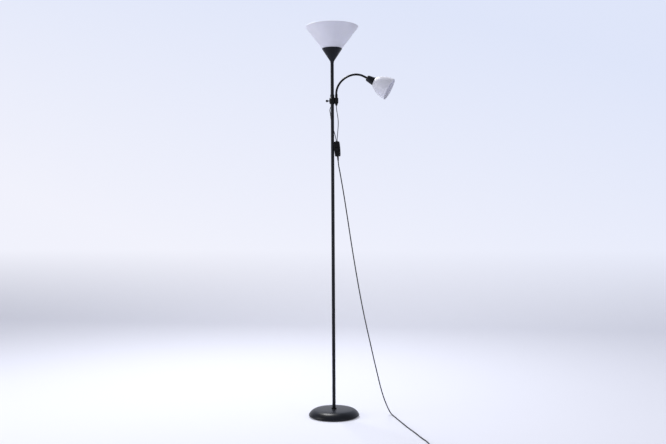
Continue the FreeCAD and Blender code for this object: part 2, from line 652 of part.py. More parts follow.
# ---------------------------------------------------------------- clamp pieces
LINER_INSIDE = POLE_RADIUS + SLIDE_FIT
LINER_OUTSIDE = LINER_INSIDE + LINER_WALL
CLAMP_BORE = LINER_OUTSIDE + TURN_FIT
SHANK_TIP_X = -(LINER_OUTSIDE + SCREW_TIP_GAP)
SHANK_END_X = -(CLAMP_RADIUS + SHANK_SHOW)
ARM_NECK_TOP = CLAMP_HIGH + ARM_NECK_RISE


def clamp_liner():
    """Nylon liner that slides on the pole. Its lips keep the clamp on it."""
    lip = LINER_OUTSIDE + LINER_LIP
    low = CLAMP_LOW - LIP_GAP
    high = CLAMP_HIGH + LIP_GAP
    return lathe([
        (LINER_INSIDE, low - LINER_LIP_HEIGHT), (lip, low - LINER_LIP_HEIGHT), (lip, low),
        (LINER_OUTSIDE, low), (LINER_OUTSIDE, high), (lip, high), (lip, high + LINER_LIP_HEIGHT),
        (LINER_OUTSIDE, high + 2 * LINER_LIP_HEIGHT), (LINER_OUTSIDE, high + LINER_RISE),
        (LINER_INSIDE, high + LINER_RISE)])


def clamp_body():
    """Moulded clamp: collar on the liner, lobe that holds the arm, and the bridge between."""
    collar = Part.makeCylinder(CLAMP_RADIUS, CLAMP_HEIGHT, V(0, 0, CLAMP_LOW))
    collar = collar.makeChamfer(CLAMP_CHAMFER, [e for e in collar.Edges if e.Closed])
    lobe = Part.makeCylinder(ARM_LOBE_RADIUS, CLAMP_HEIGHT, V(ARM_OFFSET, 0, CLAMP_LOW))
    lobe = lobe.makeChamfer(CLAMP_CHAMFER, [e for e in lobe.Edges if e.Closed])
    neck = Part.makeCylinder(ARM_RADIUS + ARM_NECK_WALL, ARM_NECK_TOP - CLAMP_Z,
                             V(ARM_OFFSET, 0, CLAMP_Z))
    neck = neck.makeChamfer(ARM_NECK_EDGE, [e for e in neck.Edges if e.Closed])
    bridge = block(V(0, -BRIDGE_WIDTH / 2, CLAMP_LOW + CLAMP_CHAMFER),
                   V(ARM_OFFSET, BRIDGE_WIDTH / 2, CLAMP_HIGH - CLAMP_CHAMFER))
    body = collar.fuse([lobe, neck, bridge])
    body = body.cut(Part.makeCylinder(CLAMP_BORE, CLAMP_HEIGHT, V(0, 0, CLAMP_LOW)))
    body = body.cut(rod(ARM_RADIUS, V(ARM_OFFSET, 0, CLAMP_LOW), V(ARM_OFFSET, 0, ARM_NECK_TOP)))
    body = body.cut(screw_rod(SCREW_RADIUS + SCREW_HOLE_GAP, 0))
    return body.cut(nut_block()).removeSplitter()


def screw_rod(radius, start_x):
    """Round rod along the thumbscrew's axis, from start_x to the end of the shank in its wing."""
    end_x = SHANK_END_X - SHANK_IN_WING
    return rod(radius, V(start_x, 0, CLAMP_Z), V(end_x, 0, CLAMP_Z))


def nut_block():
    """Space of the square nut inside the clamp's wall."""
    near_x = -(CLAMP_BORE + NUT_COVER)
    half = SQUARE_NUT_FLATS / 2
    return block(V(near_x - SQUARE_NUT_THICKNESS, -half, CLAMP_Z - half),
                 V(near_x, half, CLAMP_Z + half))


def clamp_nut():
    """Square nut that the thumbscrew turns in."""
    return nut_block().cut(screw_rod(SCREW_RADIUS + SCREW_FIT, 0))


def thumbscrew():
    """Steel screw that locks the clamp on its liner."""
    return screw_rod(SCREW_RADIUS, SHANK_TIP_X)


def thumbscrew_wing():
    """Moulded wing on the end of the thumbscrew, lying flat."""
    half_span = WING_SPAN / 2
    low_z = CLAMP_Z - WING_THICKNESS / 2
    far_x = SHANK_END_X - WING_LENGTH
    outline = [
        (SHANK_END_X, WING_HUB_RADIUS), (SHANK_END_X - WING_SWEEP, half_span),
        (far_x, half_span - WING_TAPER), (far_x + WING_TAPER, 0)]
    mirrored = [(x, -y) for x, y in outline[-2::-1]]
    points = [V(x, y, low_z) for x, y in outline + mirrored + outline[:1]]
    plate = Part.Face(Part.makePolygon(points)).extrude(V(0, 0, WING_THICKNESS))
    plate = plate.makeFillet(WING_ROUND, plate.Edges)
    hub = screw_rod(WING_HUB_RADIUS, SHANK_END_X)
    cap = Part.makeSphere(WING_HUB_RADIUS, V(SHANK_END_X - SHANK_IN_WING, 0, CLAMP_Z))
    return plate.fuse([hub, cap]).cut(screw_rod(SCREW_RADIUS, 0)).removeSplitter()


def arm_gland():
    """Tapered rubber gland under the clamp, where the reading light's cable comes out."""
    tip = CABLE_RADIUS + GLAND_TIP_WALL
    low = CLAMP_LOW - GLAND_LENGTH
    gland = lathe([
        (CABLE_RADIUS, low), (tip - GLAND_EDGE, low), (tip, low + GLAND_EDGE),
        (GLAND_RADIUS, CLAMP_LOW - GLAND_HEAD), (GLAND_RADIUS, CLAMP_LOW),
        (CABLE_RADIUS, CLAMP_LOW)])
    gland.translate(V(ARM_OFFSET, 0, 0))
    return gland


# ---------------------------------------------------------------- bendable arm
def arm_path():
    """The arm's centreline as pieces: (length, start, heading in degrees, radius or 0)."""
    pieces = []
    here = V(ARM_OFFSET, 0, CLAMP_LOW)
    heading = 90.0
    runs = [(CLAMP_HIGH + ARM_RISE - CLAMP_LOW, 0.0, 0.0)]
    runs += [(math.radians(turn) * radius, radius, turn) for radius, turn in ARM_ARCS]
    runs.append((ARM_END_RUN, 0.0, 0.0))
    for length, radius, turn in runs:
        pieces.append((length, here, heading, radius))
        here = arm_step(here, heading, radius, length)
        heading -= turn
    return pieces


def arm_step(start, heading, radius, distance):
    """Point after a distance along a straight piece or along an arc that turns downwards."""
    turn = distance / radius if radius else 0.0
    chord = 2 * radius * math.sin(turn / 2) if radius else distance
    way = math.radians(heading) - turn / 2
    return start + V(math.cos(way), 0, math.sin(way)) * chord


def arm_point(distance):
    """Point and heading at a distance along the arm's centreline."""
    for length, start, heading, radius in ARM_PIECES:
        if distance <= length + TOUCHING:
            turn = math.degrees(distance / radius) if radius else 0.0
            return arm_step(start, heading, radius, distance), heading - turn
        distance -= length
    return arm_step(start, heading, radius, distance + length), heading


def arm_edges(first, last):
    """Lines and arcs of the arm's centreline between two distances."""
    edges = []
    covered = 0.0
    for length, start, heading, radius in ARM_PIECES:
        low = max(first - covered, 0.0)
        high = min(last - covered, length)
        covered += length
        if high - low < TOUCHING:
            continue
        ends = [arm_step(start, heading, radius, d) for d in (low, (low + high) / 2, high)]
        if radius:
            edges.append(Part.Arc(*ends).toShape())
        else:
            edges.append(Part.LineSegment(ends[0], ends[2]).toShape())
    return edges


ARM_PIECES = arm_path()
ARM_LENGTH = sum(piece[0] for piece in ARM_PIECES)
FIRST_PIVOT = ARM_NECK_TOP + FIRST_PIVOT_RISE - CLAMP_LOW
LAST_PIVOT = ARM_LENGTH - LAST_LINK_LENGTH
PIVOTS = [FIRST_PIVOT + (LAST_PIVOT - FIRST_PIVOT) * k / (ARM_LINKS - 1) for k in range(ARM_LINKS)]


def arm_piece(first, last, ball_at_end):
    """One stretch of the arm: hollow cup at its start, ball at its end, bored for the cable."""
    piece = sweep(arm_edges(first, last), ARM_RADIUS)
    if ball_at_end:
        ball = Part.makeSphere(ARM_RADIUS, arm_point(last)[0])
        piece = piece.fuse(ball)
    bore_first = max(first - ARM_RADIUS, 0.0)
    bore_last = min(last + 2 * ARM_RADIUS, ARM_LENGTH) if ball_at_end else last
    piece = piece.cut(sweep(arm_edges(bore_first, bore_last), ARM_BORE))
    if first > 0:
        piece = piece.cut(Part.makeSphere(ARM_RADIUS + BALL_CLEARANCE, arm_point(first)[0]))
    return piece.removeSplitter()


def arm_root():
    """Fixed end of the arm, pressed into the clamp."""
    return arm_piece(0.0, PIVOTS[0], True)


def arm_link(index):
    """One bending link. The last one goes on into the reading cup."""
    if index < ARM_LINKS - 1:
        return arm_piece(PIVOTS[index], PIVOTS[index + 1], True)
    link = arm_piece(PIVOTS[index], ARM_LENGTH, False)
    tail = tube(ARM_RADIUS, ARM_BORE, 0, READ_TAIL)
    tail.Placement = HEAD_PLACE
    return link.fuse(tail).removeSplitter()


# ---------------------------------------------------------------- reading head
HEAD_POINT, HEAD_HEADING = arm_point(ARM_LENGTH)
HEAD_PLACE = FreeCAD.Placement(HEAD_POINT, FreeCAD.Rotation(V(0, 1, 0), 90 - HEAD_HEADING))
SMALL_SEAT = READ_CUP_LENGTH + READ_SHADE_LIFT
SMALL_MOUTH = SMALL_SEAT + SMALL_BARREL_RISE


def on_head(shape):
    """Put a piece made along +z at the end of the arm, along the arm's heading."""
    shape.Placement = HEAD_PLACE.multiply(shape.Placement)
    return shape


def reading_cup():
    """Small black cup behind the reading shade."""
    back = [(ARM_RADIUS, 0.0)] + list(READ_CUP_BACK)
    mouth = [(READ_CUP_RADIUS, READ_CUP_LENGTH), (READ_CUP_RADIUS - READ_CUP_WALL, READ_CUP_LENGTH)]
    inner = [(r - READ_CUP_WALL, z) for r, z in READ_CUP_BACK[:0:-1]]
    seat = READ_CUP_BACK[0][0] - READ_CUP_SEAT_INSET
    floor = [(seat, READ_CUP_WALL), (ARM_RADIUS, READ_CUP_WALL)]
    return on_head(lathe(back + mouth + inner + floor))


def reading_nut():
    """Nut that holds the cup on the arm's threaded end."""
    return on_head(hexagon_nut(READ_NUT_FLATS, ARM_RADIUS, READ_CUP_WALL, READ_NUT_HEIGHT))


def reading_holder():
    """Lampholder of the reading light, screwed on the arm's threaded end."""
    return on_head(lampholder(SMALL_BARREL_RADIUS, SMALL_BODY_RADIUS, SMALL_SHELL_RADIUS,
                              READ_TAIL - READ_HOLDER_OVERLAP, SMALL_SEAT, SMALL_MOUTH,
                              SMALL_CAP_LENGTH, ARM_RADIUS, READ_TAIL))


def offset_curve(points, distance):
    """Points moved square to the curve that they lie on."""
    moved = []
    for index, (r, z) in enumerate(points):
        before = points[max(index - 1, 0)]
        after = points[min(index + 1, len(points) - 1)]
        dr = after[0] - before[0]
        dz = after[1] - before[1]
        size = math.hypot(dr, dz)
        moved.append((r - distance * dz / size, z + distance * dr / size))
    return moved


def reading_shade():
    """Opal bell that stands on the small lampholder's flange."""
    foot_z = SMALL_SEAT
    rim_z = READ_CUP_LENGTH + READ_SHADE_LENGTH
    outer = [(READ_SHADE_NECK, foot_z)] + [(r, READ_CUP_LENGTH + z) for r, z in READ_SHADE_BELL]
    outer.append((READ_SHADE_RADIUS, rim_z))
    inner = offset_curve(outer, READ_SHADE_WALL)
    inner_rim = inner[-1]
    rim_top = ((READ_SHADE_RADIUS + inner_rim[0]) / 2, rim_z + READ_SHADE_WALL / 2)
    floor_z = foot_z + READ_SHADE_WALL
    inner_foot = READ_SHADE_NECK - READ_SHADE_FOOT_INSET
    return on_head(lathe([
        (SMALL_BARREL_RADIUS, foot_z), (READ_SHADE_NECK, foot_z), outer[1:],
        (rim_top, inner_rim), inner[-2:0:-1] + [(inner_foot, floor_z)],
        (SMALL_BARREL_RADIUS, floor_z)]))


# ---------------------------------------------------------------- double switch
SWITCH_TURN = FreeCAD.Rotation(V(0, 1, 0), -SWITCH_LEAN)
SWITCH_PLACE = FreeCAD.Placement(V(SWITCH_X, 0, SWITCH_Z), SWITCH_TURN)
SWITCH_FACE_Y = -SWITCH_DEPTH / 2
PIVOT_Y = SWITCH_FACE_Y + PIVOT_DEPTH
PIN_REACH = WELL_WIDTH / 2 + WELL_WALL


def on_switch(shape):
    """Put a piece made round the switch's middle at its place beside the pole."""
    shape.Placement = SWITCH_PLACE.multiply(shape.Placement)
    return shape


def switch_outline(inset):
    """Outline of the case: bowed sides and slightly bowed ends, in the xz plane."""
    half = SWITCH_HEIGHT / 2 - inset
    end = SWITCH_END_WIDTH / 2 - inset
    mid = SWITCH_WIDTH / 2 - inset
    corners = [V(-end, 0, half), V(end, 0, half), V(end, 0, -half), V(-end, 0, -half)]
    middles = [V(0, 0, half + SWITCH_END_CROWN), V(mid, 0, 0),
               V(0, 0, -half - SWITCH_END_CROWN), V(-mid, 0, 0)]
    edges = [Part.Arc(corners[k], middles[k], corners[(k + 1) % 4]).toShape() for k in range(4)]
    return Part.Wire(edges)


def case_block(inset, front):
    """Half of the case as a full block, in front of or behind the parting line."""
    depth = SWITCH_DEPTH / 2 - inset
    way = V(0, -depth if front else depth, 0)
    full = Part.Face(switch_outline(inset)).extrude(way)
    if inset:
        return full
    rounded = [e for e in full.Edges if abs(e.CenterOfMass.y - way.y) < TOUCHING]
    uprights = [e for e in full.Edges
                if e.BoundBox.YLength > depth - TOUCHING and e.BoundBox.XLength < TOUCHING]
    return full.makeFillet(SWITCH_ROUND, rounded + uprights)


def rocker_pivots():
    """Heights of the two rocker pivots on the switch's own axis."""
    return [ROCKER_RAISE + ROCKER_PITCH / 2, ROCKER_RAISE - ROCKER_PITCH / 2]


def switch_holes():
    """What passes through the case: two cables above and the cord below."""
    top = SWITCH_HEIGHT / 2
    inside = top - 2 * SWITCH_WALL
    outside = top + SWITCH_END_CROWN + TOP_RELIEF_RISE
    holes = [rod(CABLE_RADIUS, V(x, 0, inside), V(x, 0, outside)) for x in CABLE_PLACES]
    holes.append(rod(CORD_RADIUS, V(0, 0, -outside), V(0, 0, -inside)))
    return holes


def switch_front():
    """Front shell with the well that the two rockers swing in."""
    shell = case_block(0, True).cut(case_block(SWITCH_WALL, True))
    half_width = WELL_WIDTH / 2
    half_height = ROCKER_PITCH / 2 + ROCKER_HALF + ROCKER_GAP
    behind_face = SWITCH_FACE_Y + SWITCH_WALL / 2
    shell = shell.fuse(block(V(-PIN_REACH, behind_face, ROCKER_RAISE - half_height - WELL_WALL),
                             V(PIN_REACH, WELL_BACK_Y, ROCKER_RAISE + half_height + WELL_WALL)))
    shell = shell.cut(block(V(-half_width, SWITCH_FACE_Y, ROCKER_RAISE - half_height),
                            V(half_width, 0, ROCKER_RAISE + half_height)))
    divider_face = SWITCH_FACE_Y + DIVIDER_SUNK
    shell = shell.fuse(block(V(-half_width, divider_face, ROCKER_RAISE - DIVIDER / 2),
                             V(half_width, WELL_BACK_Y, ROCKER_RAISE + DIVIDER / 2)))
    for z in rocker_pivots():
        hole = rod(PIN_RADIUS + PIN_FIT, V(-PIN_REACH, PIVOT_Y, z), V(PIN_REACH, PIVOT_Y, z))
        shell = shell.cut(hole)
    for hole in switch_holes():
        shell = shell.cut(hole)
    post = rod(CASE_POST_RADIUS, V(0, behind_face, -CASE_SCREW_DROP), V(0, 0, -CASE_SCREW_DROP))
    shell = shell.fuse(post).cut(case_screw())
    return on_switch(shell.removeSplitter())


def case_screw():
    """Screw that holds the two halves of the case."""
    head_y = SWITCH_DEPTH / 2 - CASE_SCREW_SUNK
    inner_y = head_y - CASE_HEAD_HEIGHT
    head = rod(CASE_SCREW_HEAD, V(0, inner_y, -CASE_SCREW_DROP), V(0, head_y, -CASE_SCREW_DROP))
    shank = rod(CASE_SCREW_RADIUS, V(0, inner_y - CASE_SHANK_LENGTH, -CASE_SCREW_DROP),
                V(0, inner_y, -CASE_SCREW_DROP))
    return head.fuse(shank).removeSplitter()


def switch_back():
    """Back shell with the post that takes the screw."""
    shell = case_block(0, False).cut(case_block(SWITCH_WALL, False))
    back_y = SWITCH_DEPTH / 2
    post = rod(CASE_POST_RADIUS, V(0, 0, -CASE_SCREW_DROP),
               V(0, back_y - SWITCH_WALL / 2, -CASE_SCREW_DROP))
    mouth = rod(CASE_SCREW_HEAD, V(0, back_y - CASE_SCREW_SUNK, -CASE_SCREW_DROP),
                V(0, back_y, -CASE_SCREW_DROP))
    shell = shell.fuse(post).cut(case_screw()).cut(mouth)
    for hole in switch_holes():
        shell = shell.cut(hole)
    return on_switch(shell.removeSplitter())


def switch_screw():
    """The case's screw at its place."""
    return on_switch(case_screw())


def rocker(index):
    """One rocker with its pivot pins, stored in its off position."""
    half_width = WELL_WIDTH / 2 - ROCKER_GAP
    crown = PIVOT_DEPTH + ROCKER_PROUD
    end_rise = crown + ROCKER_HALF * math.tan(math.radians(ROCKER_TILT))
    side = [V(0, -ROCKER_HALF, ROCKER_TAIL), V(0, -ROCKER_HALF, -end_rise), V(0, 0, -crown),
            V(0, ROCKER_HALF, -end_rise), V(0, ROCKER_HALF, ROCKER_TAIL)]
    points = [V(-half_width, p.z, p.y) for p in side]
    slab = Part.Face(Part.makePolygon(points + points[:1])).extrude(V(2 * half_width, 0, 0))
    drum = rod(ROCKER_HALF, V(-half_width, 0, 0), V(half_width, 0, 0))
    pins = rod(PIN_RADIUS, V(-PIN_REACH, 0, 0), V(PIN_REACH, 0, 0))
    body = slab.common(drum).fuse(pins).removeSplitter()
    body.rotate(V(0, 0, 0), V(1, 0, 0), -ROCKER_TILT)
    body.translate(V(0, PIVOT_Y, rocker_pivots()[index]))
    return on_switch(body)


def switch_contacts():
    """Brass contact strips behind the rockers."""
    back = SWITCH_DEPTH / 2 - SWITCH_WALL
    strips = []
    for z in rocker_pivots():
        for side in (-1, 1):
            foot = z + side * ROCKER_HALF / 2
            strips.append(block(V(-STRIP_WIDTH / 2, back - STRIP_RISE, foot - STRIP_THICKNESS / 2),
                                V(STRIP_WIDTH / 2, back, foot + STRIP_THICKNESS / 2)))
    return on_switch(Part.makeCompound(strips))


def switch_top_relief():
    """Rubber sleeve round the two cables at the top of the case."""
    low = SWITCH_HEIGHT / 2 - SWITCH_WALL
    high = SWITCH_HEIGHT / 2 + TOP_RELIEF_RISE
    wall = CABLE_RADIUS + TOP_RELIEF_WALL
    body = block(V(CABLE_PLACES[0], -wall, low), V(CABLE_PLACES[1], wall, high))
    for x in CABLE_PLACES:
        body = body.fuse(rod(wall, V(x, 0, low), V(x, 0, high)))
    for half in (case_block(0, True), case_block(0, False)):
        body = body.cut(half)
    for hole in switch_holes():
        body = body.cut(hole)
    return on_switch(body.removeSplitter())


def cord_relief():
    """Tapered strain relief at the bottom of the switch."""
    top = -SWITCH_HEIGHT / 2
    low = top - RELIEF_LENGTH
    relief = lathe([
        (CORD_RADIUS, top), (CORD_RADIUS + RELIEF_WALL, top),
        (CORD_RADIUS + RELIEF_TIP_WALL, low), (CORD_RADIUS, low)])
    for half in (case_block(0, True), case_block(0, False)):
        relief = relief.cut(half)
    return on_switch(relief)


# ---------------------------------------------------------------- plug
PLUG_FACE = V(*SUPPLY_CORD_ROUTE[-1])
PLUG_WAY = (PLUG_FACE - V(*SUPPLY_CORD_ROUTE[-2])).normalize()


def plug_place():
    """Frame at the end of the cord: x along the plug, z up as far as that allows."""
    side = V(0, 0, 1).cross(PLUG_WAY).normalize()
    up = PLUG_WAY.cross(side)
    turn = FreeCAD.Rotation(PLUG_WAY, side, up, "XYZ")
    return FreeCAD.Placement(PLUG_FACE, turn)


def rounded_section(x, width, thickness):
    """Flat oval across the plug."""
    half = (width - thickness) / 2
    r = thickness / 2
    edges = []
    for side in (1, -1):
        low = V(x, side * half, -side * r)
        high = V(x, side * half, side * r)
        edges.append(Part.Arc(low, V(x, side * (half + r), 0), high).toShape())
        edges.append(Part.LineSegment(high, V(x, -side * half, side * r)).toShape())
    return Part.Wire(edges)


def plug_body():
    """Flat two-pin plug with its moulded strain relief."""
    tail = PLUG_RELIEF_LENGTH
    sections = [rounded_section(tail, PLUG_TAIL_WIDTH, PLUG_TAIL_THICKNESS),
                rounded_section(tail + PLUG_SHOULDER, PLUG_WIDTH, PLUG_THICKNESS),
                rounded_section(tail + PLUG_LENGTH, PLUG_WIDTH, PLUG_THICKNESS)]
    body = Part.makeLoft(sections, True, True)
    relief = Part.makeCone(CORD_RADIUS + PLUG_RELIEF_WALL, PLUG_TAIL_THICKNESS / 2,
                           tail, V(0, 0, 0), V(1, 0, 0))
    body = body.fuse(relief).cut(plug_pin_pair()).removeSplitter()
    body.Placement = plug_place()
    return body


def plug_pin_pair():
    """The two round pins before they are put in place: a sleeved root and a bare end."""
    face = PLUG_RELIEF_LENGTH + PLUG_LENGTH
    bare = face + PLUG_SLEEVE_LENGTH
    pins = []
    for side in (-0.5, 0.5):
        y = side * PLUG_PIN_SPACING
        root = rod(PLUG_SLEEVE_RADIUS, V(face - PLUG_PIN_ROOT, y, 0), V(bare, y, 0))
        end = rod(PLUG_PIN_RADIUS, V(bare, y, 0), V(face + PLUG_PIN_LENGTH, y, 0))
        tip = [e for e in end.Edges if e.Closed and e.CenterOfMass.x > bare + PLUG_PIN_ROUND]
        pins.append(root.fuse(end.makeFillet(PLUG_PIN_ROUND, tip)))
    return Part.makeCompound(pins)


def plug_pins():
    """The two pins in the plug."""
    pins = plug_pin_pair()
    pins.Placement = plug_place()
    return pins


# ---------------------------------------------------------------- all pieces
def all_pieces():
    """Every piece by its node name."""
    pieces = {
        "base_felt": base_felt(),
        "base_weight": base_weight(),
        "base_cover": base_cover(),
        "base_washer": base_washer(),
        "foot_ring": foot_ring(),
        "pole_inserts": pole_inserts(),
        "pole_studs": pole_studs(),
        "pole_nuts": pole_nuts(),
        "pole_wire": pole_wire(),
        "cable_outlet": cable_outlet(),
        "cable_clip": cable_clip(),
        "uplight_cup": uplight_cup(),
        "uplight_holder": uplight_holder(),
        "uplight_contact": centre_contact(BIG_MOUTH_Z, BIG_CAP_LENGTH),
        "uplight_screw_shell": screw_shell(BIG_SHELL_RADIUS, BIG_MOUTH_Z, BIG_CAP_LENGTH),
        "uplight_shade": uplight_shade(),
        "uplight_shade_ring": shade_ring(BIG_BARREL_RADIUS, BIG_SEAT_Z + UP_SHADE_WALL),
        "uplight_bulb_cap": bulb_cap(BIG_SHELL_RADIUS, BIG_MOUTH_Z, BIG_CAP_LENGTH),
        "uplight_bulb_glass": bulb_glass(
            BIG_SHELL_RADIUS, BIG_MOUTH_Z, BIG_BULB_RADIUS, BIG_BULB_LENGTH),
        "clamp_liner": clamp_liner(),
        "clamp_body": clamp_body(),
        "clamp_nut": clamp_nut(),
        "thumbscrew": thumbscrew(),
        "thumbscrew_wing": thumbscrew_wing(),
        "arm_gland": arm_gland(),
        "arm_root": arm_root(),
        "reading_cup": reading_cup(),
        "reading_nut": reading_nut(),
        "reading_holder": reading_holder(),
        "reading_contact": on_head(centre_contact(SMALL_MOUTH, SMALL_CAP_LENGTH)),
        "reading_screw_shell": on_head(
            screw_shell(SMALL_SHELL_RADIUS, SMALL_MOUTH, SMALL_CAP_LENGTH)),
        "reading_shade": reading_shade(),
        "reading_shade_ring": on_head(shade_ring(SMALL_BARREL_RADIUS, SMALL_SEAT + READ_SHADE_WALL)),
        "reading_bulb_cap": on_head(bulb_cap(SMALL_SHELL_RADIUS, SMALL_MOUTH, SMALL_CAP_LENGTH)),
        "reading_bulb_glass": on_head(
            bulb_glass(SMALL_SHELL_RADIUS, SMALL_MOUTH, SMALL_BULB_RADIUS, SMALL_BULB_LENGTH)),
        "switch_front": switch_front(),
        "switch_back": switch_back(),
        "switch_screw": switch_screw(),
        "switch_contacts": switch_contacts(),
        "switch_top_relief": switch_top_relief(),
        "cord_relief": cord_relief(),
        "uplight_rocker": rocker(0),
        "reading_rocker": rocker(1),
        "lamp_cable": cable("lamp_cable", LAMP_CABLE_ROUTE, CABLE_RADIUS),
        "reading_cable": cable("reading_cable", READING_CABLE_ROUTE, CABLE_RADIUS),
        "supply_cord": cable("supply_cord", SUPPLY_CORD_ROUTE, CORD_RADIUS),
        "plug_body": plug_body(),
        "plug_pins": plug_pins(),
    }
    for index in range(POLE_SECTIONS):
        pieces["pole_section_%d" % (index + 1)] = pole_section(index)
    for index in range(ARM_LINKS):
        pieces["arm_link_%d" % (index + 1)] = arm_link(index)
    return pieces


def main():
    os.makedirs("parts", exist_ok=True)
    pieces = all_pieces()
    for name, shape in pieces.items():
        shape.exportStep("parts/%s.step" % name)
    places = [arm_point(distance)[0] for distance in PIVOTS]
    print("arm pivots", [(round(p.x, 2), round(p.z, 2)) for p in places])
    print("head at", [round(v, 2) for v in HEAD_POINT], "heading", round(HEAD_HEADING, 2))
    print("pieces", len(pieces), "invalid", [n for n, s in pieces.items() if not s.isValid()])


main()
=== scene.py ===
# %% [markdown]
# # A torchiere floor lamp with a reading light
# The lamp stands on a weighted steel base. Four screwed lengths of black tube carry an opal
# cone that throws its light up, and a clamp on the tube carries a bendable arm with a small
# opal bell to read by. Two rockers in a case on the cord switch the two lights. The
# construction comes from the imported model: this script gives every surface its finish and
# models the cords, the arm's sleeve and the visible shells on top of it.

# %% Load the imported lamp
import bmesh
import bpy
import json
import math
from mathutils import Matrix, Vector


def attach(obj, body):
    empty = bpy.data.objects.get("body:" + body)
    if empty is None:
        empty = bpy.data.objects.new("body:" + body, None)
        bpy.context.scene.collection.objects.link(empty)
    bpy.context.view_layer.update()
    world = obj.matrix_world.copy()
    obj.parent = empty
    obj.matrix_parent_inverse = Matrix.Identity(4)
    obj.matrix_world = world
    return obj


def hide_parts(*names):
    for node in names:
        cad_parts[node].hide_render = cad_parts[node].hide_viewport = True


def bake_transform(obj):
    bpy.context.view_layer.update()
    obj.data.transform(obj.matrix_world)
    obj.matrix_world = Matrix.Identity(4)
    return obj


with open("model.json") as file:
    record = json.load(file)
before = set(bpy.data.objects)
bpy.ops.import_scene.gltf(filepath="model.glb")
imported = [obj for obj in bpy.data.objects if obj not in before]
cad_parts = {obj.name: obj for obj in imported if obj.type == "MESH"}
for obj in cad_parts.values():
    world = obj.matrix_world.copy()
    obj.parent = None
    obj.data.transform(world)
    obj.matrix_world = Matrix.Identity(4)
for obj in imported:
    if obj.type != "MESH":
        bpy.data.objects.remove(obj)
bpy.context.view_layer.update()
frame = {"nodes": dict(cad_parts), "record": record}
MM = 0.001

# %% [markdown]
# ## The camera
# The photograph was taken from a good three and a half metres away, a little to the right of
# the lamp's front, with the camera level at about half the lamp's height. A level camera
# keeps the pole upright in the picture, so only a very small roll is left to match.

# %% Set the camera
PHOTO_WIDTH = 666
FOCAL_PIXELS = 827.0
SENSOR_WIDTH = 36.0
VIEW_TURN = math.radians(11.0)
VIEW_ROLL = 0.0056
VIEW_DISTANCE = 3.7369
VIEW_HEIGHT = 0.878

lens = bpy.data.cameras.new("photo_camera")
lens.sensor_width = SENSOR_WIDTH
lens.lens = FOCAL_PIXELS / PHOTO_WIDTH * SENSOR_WIDTH
camera = bpy.data.objects.new("photo_camera", lens)
camera.location = (VIEW_DISTANCE * math.sin(VIEW_TURN), -VIEW_DISTANCE * math.cos(VIEW_TURN),
                   VIEW_HEIGHT)
camera.rotation_euler = (math.pi / 2, VIEW_ROLL, VIEW_TURN)
bpy.context.scene.collection.objects.link(camera)
bpy.context.scene.camera = camera
print("lens", round(lens.lens, 2), "mm")


# %% [markdown]
# ## The cords
# A flexible cord is one smooth curve of a fixed length. A NURBS curve of order 3 passes
# inside its control points the way a cord rounds its bends, so points given a few
# centimetres apart are enough. The uplight's cable leaves the pole just under the clamp, is
# held by a clip and passes behind the pole into the switch. The reading light's cable hangs
# beside it, and the supply cord runs from the switch down to the floor and on to its plug.

# %% A helper that draws a cord along its control points
def cord_curve(name, points_mm, radius_mm):
    """One open NURBS spline through the air, with a round section. No radius gives its line.

    The points carry the section's radius, because Blender adds it to the curve's bounds.
    """
    curve = bpy.data.curves.new(name, "CURVE")
    curve.dimensions = "3D"
    curve.resolution_u = 10
    curve.bevel_depth = 1.0 if radius_mm else 0.0
    curve.bevel_resolution = 4
    curve.use_fill_caps = radius_mm > 0
    spline = curve.splines.new("NURBS")
    spline.points.add(len(points_mm) - 1)
    for point, place in zip(spline.points, points_mm):
        point.co = (place[0] * MM, place[1] * MM, place[2] * MM, 1.0)
        point.radius = radius_mm * MM
    spline.order_u = 3
    spline.use_endpoint_u = True
    cord = bpy.data.objects.new(name, curve)
    bpy.context.scene.collection.objects.link(cord)
    return cord


def cord_line(points_mm):
    """The points down the middle of that spline."""
    cord = cord_curve("cord_line", points_mm, 0)
    line = bpy.data.meshes.new_from_object(cord)
    points = [vertex.co.copy() for vertex in line.vertices]
    bpy.data.objects.remove(cord)
    return points


def line_length(points):
    """How long a line through these points is."""
    return sum((after - before).length for before, after in zip(points, points[1:]))


# %% The three routes, in millimetres
CABLE_RADIUS = 1.7
CORD_RADIUS = 2.5
LAMP_CABLE_ROUTE = [
    (-6.6, 7.5, 1402.5), (-9.64, 10.95, 1398.64), (-13.4, 12.6, 1391.5), (-14.0, 11.4, 1382.5),
    (-11.8, 8.4, 1373.5), (-9.1, 6.2, 1363.0), (-8.7, 6.5, 1350.5), (-7.1, 8.5, 1335.5),
    (-3.9, 10.5, 1319.0), (0.9, 11.3, 1302.0), (6.0, 9.9, 1286.0), (10.2, 7.0, 1271.5),
    (13.4, 3.0, 1260.0), (16.24, 0.0, 1251.23), (16.79, 0.0, 1243.25)]
READING_CABLE_ROUTE = [
    (18.5, 0.0, 1402.75), (18.8, 0.1, 1392.0), (20.4, 0.5, 1377.0), (23.8, 0.9, 1358.0),
    (26.2, 1.1, 1338.0), (26.6, 1.0, 1318.0), (25.2, 0.8, 1298.0), (23.6, 0.5, 1279.0),
    (22.3, 0.3, 1264.0), (20.69, 0.0, 1253.55), (21.383, 0.0, 1243.57)]
